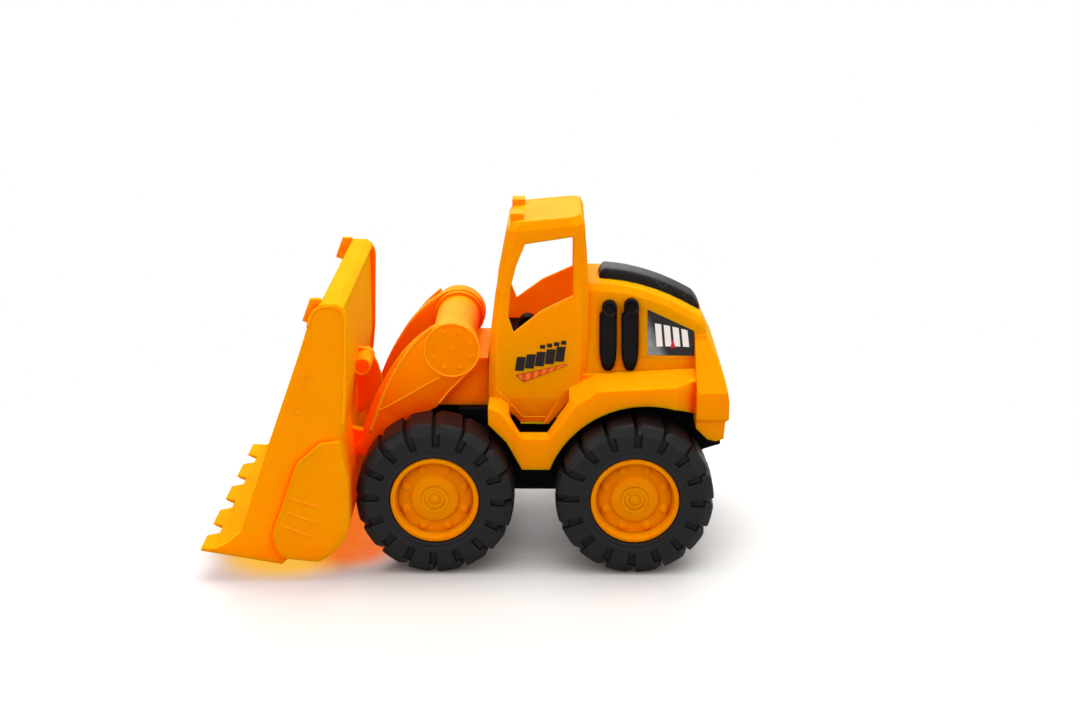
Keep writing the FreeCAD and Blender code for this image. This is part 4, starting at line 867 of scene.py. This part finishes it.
# ---------------------------------------------------------------- hood cover
# A black air-intake cover that follows the hood's back from the cab to the tail: flat crown, cut
# edges and sloping ends. Its crown takes fine scratches and dust.
CREST_X = -70.0
CREST_Z = 123.8
CREST_RADIUS = 77.4
COVER_FRONT = -72.4
COVER_BACK = -117.6
COVER_HALF = 9.0
COVER_HEIGHT = 4.2


def hood_crown(x):
    """The hood's middle falls from its crest as x^2 / 2r."""
    return CREST_Z - (x - CREST_X) ** 2 / (2 * CREST_RADIUS)


def cover_grid():
    """Rows run back along the hood, columns go over the cover from left foot to right foot."""
    run = np.linspace(0, 1, 48)
    x = COVER_FRONT + (COVER_BACK - COVER_FRONT) * run
    nose = soft_step(run, -0.02, 0.055) ** 0.7
    tail = 1 - soft_step(run, 0.93, 1.03)
    lift = (COVER_HEIGHT * np.minimum(nose, 0.25 + 0.75 * tail))[:, None]
    half = (COVER_HALF - 1.3 * (1 - nose) - 0.8 * soft_step(run, 0.9, 1.0))[:, None]
    section = np.array([
        (1.0, -0.25), (1.0, 0.3), (0.985, 0.55), (0.93, 0.8), (0.84, 0.93), (0.72, 0.985),
        (0.4, 0.99), (0, 1.0),
    ])
    section = np.concatenate([section, section[-2::-1] * [-1, 1]])
    y = half * section[:, 0][None, :]
    z = hood_crown(x)[:, None] + lift * section[:, 1][None, :]
    return across(x[:, None], y, z)


satin = Finish("cover_plastic", Roughness=0.5, Specular_IOR_Level=0.05)
scuffs = satin.noise(0.9, detail=4).rise(0.58, 0.72) * satin.noise(9, detail=2).rise(0.35, 0.6)
satin.feed(Base_Color=satin.mix(scuffs * 0.8, shade(27, 26, 27), shade(104, 101, 98)))
satin.feed(Roughness=satin.noise(6, detail=3) * 0.12 + 0.42 + scuffs * 0.2)
satin.relief(satin.noise(0.7, detail=2), 0.03)
cover = skin("hood_cover", [cover_grid()], satin, "vehicle", sharp=60)
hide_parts("hood_vent")


# ---------------------------------------------------------------- stickers
# Printed vinyl stickers, a tenth of a millimetre thick with cut edges. On the hood's sides a dark
# panel with a pale fade, four slanted bars and a small red wedge; on the doors five slanted black
# bars, a row of squares and a hatched wedge. The shapes are plain, and stand for nothing.
LABEL_THICKNESS = 0.1
LABEL_SINK = 0.05


def patch(corners, surface, side, rows=8, columns=16):
    """Front and back grids of a thin sheet over the outline corners of (x, z) on a side wall.

    Inside the outline a point is the bilinear mix of the corners; y is the wall's own half width
    there, from which the front stands a thickness proud and the back sinks a little.
    """
    corners = np.array(corners, float)
    u = np.linspace(0, 1, columns)[None, :, None]
    v = np.linspace(0, 1, rows)[:, None, None]
    foot = (1 - u) * corners[0] + u * corners[1]
    top = (1 - u) * corners[3] + u * corners[2]
    flat = (1 - v) * foot + v * top
    x, z = flat[..., 0], flat[..., 1]
    y = surface(x, z)
    return [across(x, SIGN[side] * (y + proud), z) for proud in (LABEL_THICKNESS, -LABEL_SINK)]


def sheet_mesh(name, patches, finish, body):
    """One mesh of closed sheets, each a front grid, its back grid turned round and a wall between.

    The uv layer runs from 0 to 1 across and up each sheet.
    """
    spots, faces, shares, first = [], [], [], 0
    for front, back in patches:
        rows, columns = front.shape[:2]
        index = first + np.arange(2 * rows * columns).reshape(2, rows, columns)
        top = index[0]
        rim = np.concatenate([top[0, :], top[1:, -1], top[-1, -2::-1], top[-2:0:-1, 0]])
        under = rim + rows * columns
        tops = quads(top)
        floors = quads(index[1])[:, [0, 3, 2, 1]]
        walls = np.stack([rim, under, np.roll(under, -1), np.roll(rim, -1)], -1)
        corner = front.reshape(-1, 3)[tops - first]
        facing = np.cross(corner[:, 1] - corner[:, 0], corner[:, 3] - corner[:, 0])[:, 1].sum()
        own = np.concatenate([tops, floors, walls])
        outward = np.sign(front[..., 1].mean())
        faces += (own if facing * outward > 0 else own[:, ::-1]).tolist()
        spots += [front.reshape(-1, 3), back.reshape(-1, 3)]
        u, v = np.meshgrid(np.linspace(0, 1, columns), np.linspace(0, 1, rows))
        shares += [np.stack([u, v], -1).reshape(-1, 2)] * 2
        first += 2 * rows * columns
    piece = mesh_piece(name, np.concatenate(spots), faces)
    layer = piece.data.uv_layers.new(name="label")
    corners = np.empty(len(piece.data.loops), int)
    piece.data.loops.foreach_get("vertex_index", corners)
    layer.data.foreach_set("uv", np.concatenate(shares)[corners].ravel())
    piece.data.set_sharp_from_angle(angle=math.radians(40))
    piece.data.materials.append(finish.material)
    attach(piece, body)


def label_spot(finish):
    """The label's own u and v, from 0 to 1."""
    place = finish.add("ShaderNodeUVMap", {"uv_map": "label"})
    return [finish.part(place, axis) for axis in "XY"]


def band(value, low, high, blur=0.006):
    """1 between low and high, with a blur as wide as printing ink spreads."""
    return value.rise(low - blur, low + blur) * (1 - value.rise(high - blur, high + blur))


panel = Finish("hood_label_print", Roughness=0.3, Specular_IOR_Level=0.2)
u, v = label_spot(panel)
streak = panel.noise(2.2, detail=3).rise(0.35, 0.7) * 0.3
fade = 1 - (u + v * 0.5).rise(0.2, 0.52)
ground = panel.mix(fade * (0.85 - streak), shade(30, 27, 28), shade(142, 148, 152))
specks = panel.noise(0.8, detail=1).rise(0.68, 0.72) * (1 - fade)
ground = panel.mix(specks * 0.25, ground, shade(120, 116, 112))
lean = u + v * 0.07
tall = v.math("GREATER_THAN", u * 0.17 + 0.17) * (1 - v.math("GREATER_THAN", u * 0.22 + 0.72))
first_bar, *other_bars = [band(lean, start, start + 0.135) for start in (0.21, 0.40, 0.59, 0.78)]
ground = panel.mix(sum(other_bars, first_bar) * tall, ground, shade(226, 220, 216))
aside = (u - 0.545).math("ABSOLUTE")
wedge = band(v, 0.22, 0.5) * (1 - (aside * 4.0 + v).rise(0.46, 0.48))
panel.feed(Base_Color=panel.mix(wedge, ground, shade(186, 28, 44)))
panel.relief(panel.noise(3, detail=2), 0.02)

HOOD_LABEL = [(-93.6, 93.6), (-114.3, 93.3), (-114.3, 103.9), (-93.5, 113.1)]
HOOD_LINE = [(-91.4, 92.8), (-102, 92.55), (-114.0, 92.3)]
for side in SIGN:
    sheet_mesh(f"hood_label_{side}", [patch(HOOD_LABEL, hood_side, side)], panel, "vehicle")
    frame_line = swept(HOOD_LINE, bead(0.25, 0.15), hood_side, side)
    skin(f"hood_label_frame_{side}", [frame_line], ridge, "vehicle")


CAB_LEVELS = ([62.8, 75, 88, 104, 120, 139], [31.2, 33, 32.5, 30.8, 28, 26.2])


def cab_side(x, z):
    """How far the cab's side stands from the middle at (x, z): straight between its levels."""
    return np.interp(z, *CAB_LEVELS)


ink = Finish("door_label_ink", Roughness=0.4, Specular_IOR_Level=0.15)
rubbed_off = ink.noise(1.5, detail=3).rise(0.62, 0.7)
ink.feed(Base_Color=ink.mix(rubbed_off * 0.5, shade(24, 18, 17), shade(66, 46, 38)))
ink.relief(ink.noise(2, detail=2), 0.01)
hatch = Finish("door_label_hatch", Roughness=0.4, Specular_IOR_Level=0.15)
u, v = label_spot(hatch)
stripe = (v * 6.0 + u * 0.9).math("FRACT")
rim_line = 1 - band(u, 0.1, 0.9, 0.02) * band(v, 0.02, 0.98, 0.01)
fill = hatch.mix(band(stripe, 0.3, 0.75, 0.05), shade(206, 70, 26), shade(231, 118, 20))
hatch.feed(Base_Color=hatch.mix(rim_line, fill, shade(150, 38, 18)))


def slanted(x, z_low, z_high, width, lean):
    """A bar's four corners, from its foot at x, leaning towards the tail as it rises."""
    return [(x, z_low), (x - width, z_low), (x - width - lean, z_high), (x - lean, z_high)]


DOOR_BARS = 5
DOOR_SQUARES = 4
DOOR_WEDGE = [(-35.2, 85.5), (-38.7, 82.2), (-58.1, 90.1), (-57.7, 90.7)]
printed = []
for index in range(DOOR_BARS):
    foot = (-34.9 - index * 4.4, 87.5 + index * 1.03)
    printed.append(slanted(*foot, foot[1] + 6.2 + index * 0.12, 3.95, 0.9))
for index in range(DOOR_SQUARES):
    foot = (-45.9 - index * 3.1, 97.4 + index * 0.6)
    printed.append(slanted(*foot, 99.1 + index * 0.63, 2.3, 0.15))
for side in SIGN:
    bars = [patch(bar, cab_side, side, 6, 4) for bar in printed]
    sheet_mesh(f"door_label_bars_{side}", bars, ink, "vehicle")
    wedge = patch(DOOR_WEDGE, cab_side, side, 12, 6)
    sheet_mesh(f"door_label_hatch_{side}", [wedge], hatch, "vehicle")


# ---------------------------------------------------------------- door ridges
# A thin moulded ridge runs along the foot of each door, inside its V, and a short one under the
# window's tail end. A thin dark sheet on the V's tail side against the fender is a painted shadow.
DOOR_FOOT = [
    (-26.6, 79.4), (-32.3, 73.0), (-38.3, 65.7), (-53.6, 65.7), (-60.9, 74.8), (-67.4, 82.6),
]
DOOR_CREASE = [(-55.2, 105.8), (-59, 105.6), (-63.1, 105.4)]
DOOR_RIDGES = {"foot": (DOOR_FOOT, bead(0.34, 0.16)), "crease": (DOOR_CREASE, bead(0.22, 0.1))}
# A painted shadow: a thin dark sheet over the gap beside the door's V.
DOOR_GAP_SHADOW = [(-51.8, 63.0), (-61.8, 75.4), (-63.9, 73.6), (-54.2, 60.2)]
for side in SIGN:
    sheet_mesh(f"door_gap_shadow_{side}", [patch(DOOR_GAP_SHADOW, cab_side, side, 4, 12)], ink, "vehicle")
    for name, (path, section) in DOOR_RIDGES.items():
        line = swept(along(path, 60), section, cab_side, side)
        skin(f"door_{name}_ridge_{side}", [line], ridge, "vehicle")


# ---------------------------------------------------------------- bucket details
# On each side plate of the bucket a rounded rim along the top and tail edges, three small rings
# down the front and a soft slope up to the bulging barrel, which carries three ribs. A bead runs
# round the end of the tube behind the bucket.
BARREL_BULGE = 2.4
PLATE_BACK_X = 36.8
PLATE_BACK_Y = 60
PLATE_FLARE = 6.8
PLATE_REACH = 64.8
PLATE_RIM = [
    (51.4, 115.5), (50.7, 119.3), (49.4, 122.3), (46.4, 124.3), (40.1, 124.6), (37.8, 123.4),
    (36.4, 121.4), (35.9, 118.9), (36.9, 95), (37.6, 80), (38.6, 71.0),
]
BARREL_EDGE = [(47.8, 63.8), (58.4, 54.5), (63.3, 40.2), (69.8, 22.8), (68.8, 16.2), (65.2, 11.8)]
BARREL_RIBS = [
    [(62.4, 39.8), (48.2, 34.1)], [(64.3, 33.5), (50.6, 27.7)], [(66.2, 27.2), (53.5, 21.4)],
]
PLATE_RINGS = [(52.2, 93.2), (55.2, 86.6), (56.8, 79.0)]
BARREL_SLOPE = [
    (0.6, -0.3), (0.5, 2.32), (0.0, 2.3), (-0.9, 1.75), (-1.9, 0.9), (-3.0, 0.25),
    (-4.0, 0.02), (-4.1, -0.3),
]
TUBE_END_Y = 14
TUBE_MIDDLE = (35.1, 83.3)


def plate_face(x, z):
    """The side plates splay outwards, by the flare over their reach, towards the bucket's lip."""
    return PLATE_BACK_Y + (x - PLATE_BACK_X) * PLATE_FLARE / PLATE_REACH


def barrel_face(x, z):
    return plate_face(x, z) + BARREL_BULGE


for side in SIGN:
    rim = swept(smooth(PLATE_RIM, 60), bead(0.8, 0.35), plate_face, side)
    skin(f"bucket_plate_rim_{side}", [rim], edge_plastic, "bucket")
    slope = swept(smooth(BARREL_EDGE, 60), BARREL_SLOPE, plate_face, side)
    skin(f"bucket_barrel_slope_{side}", [slope], edge_plastic, "bucket")
    ribs = [swept(along(rib, 12), bead(0.42, 0.32), barrel_face, side) for rib in BARREL_RIBS]
    skin(f"bucket_barrel_ribs_{side}", ribs, ridge, "bucket")
    circles = [circle(spot, 1.8, 40) for spot in PLATE_RINGS]
    rings = [swept(line, bead(0.32, 0.12), plate_face, side, closed=True) for line in circles]
    skin(f"bucket_plate_rings_{side}", rings, ridge, "bucket", loop=True)
tube_edge = circle(TUBE_MIDDLE, 3.55, 48)
tube_rim = swept(tube_edge, bead(0.5, 0.35), wall_at(TUBE_END_Y), "left", closed=True)
skin("bucket_tube_rim", [tube_rim], ridge, "bucket", loop=True)


# ---------------------------------------------------------------- screws
# Four steel screws with round heads hold the chassis to the posts inside the body. Their
# metal has an uneven shine.
STEEL = ((0.55, 0.55, 0.56, 1), (0.7, 0.7, 0.71, 1))
steel = Finish("screw_steel", Metallic=1.0, Roughness=0.3)
steel.feed(Base_Color=steel.mix(steel.noise(0.8, detail=3), *STEEL))
steel.feed(Roughness=steel.noise(0.5, detail=3) * 0.25 + 0.2)
dress("chassis_screws", steel)
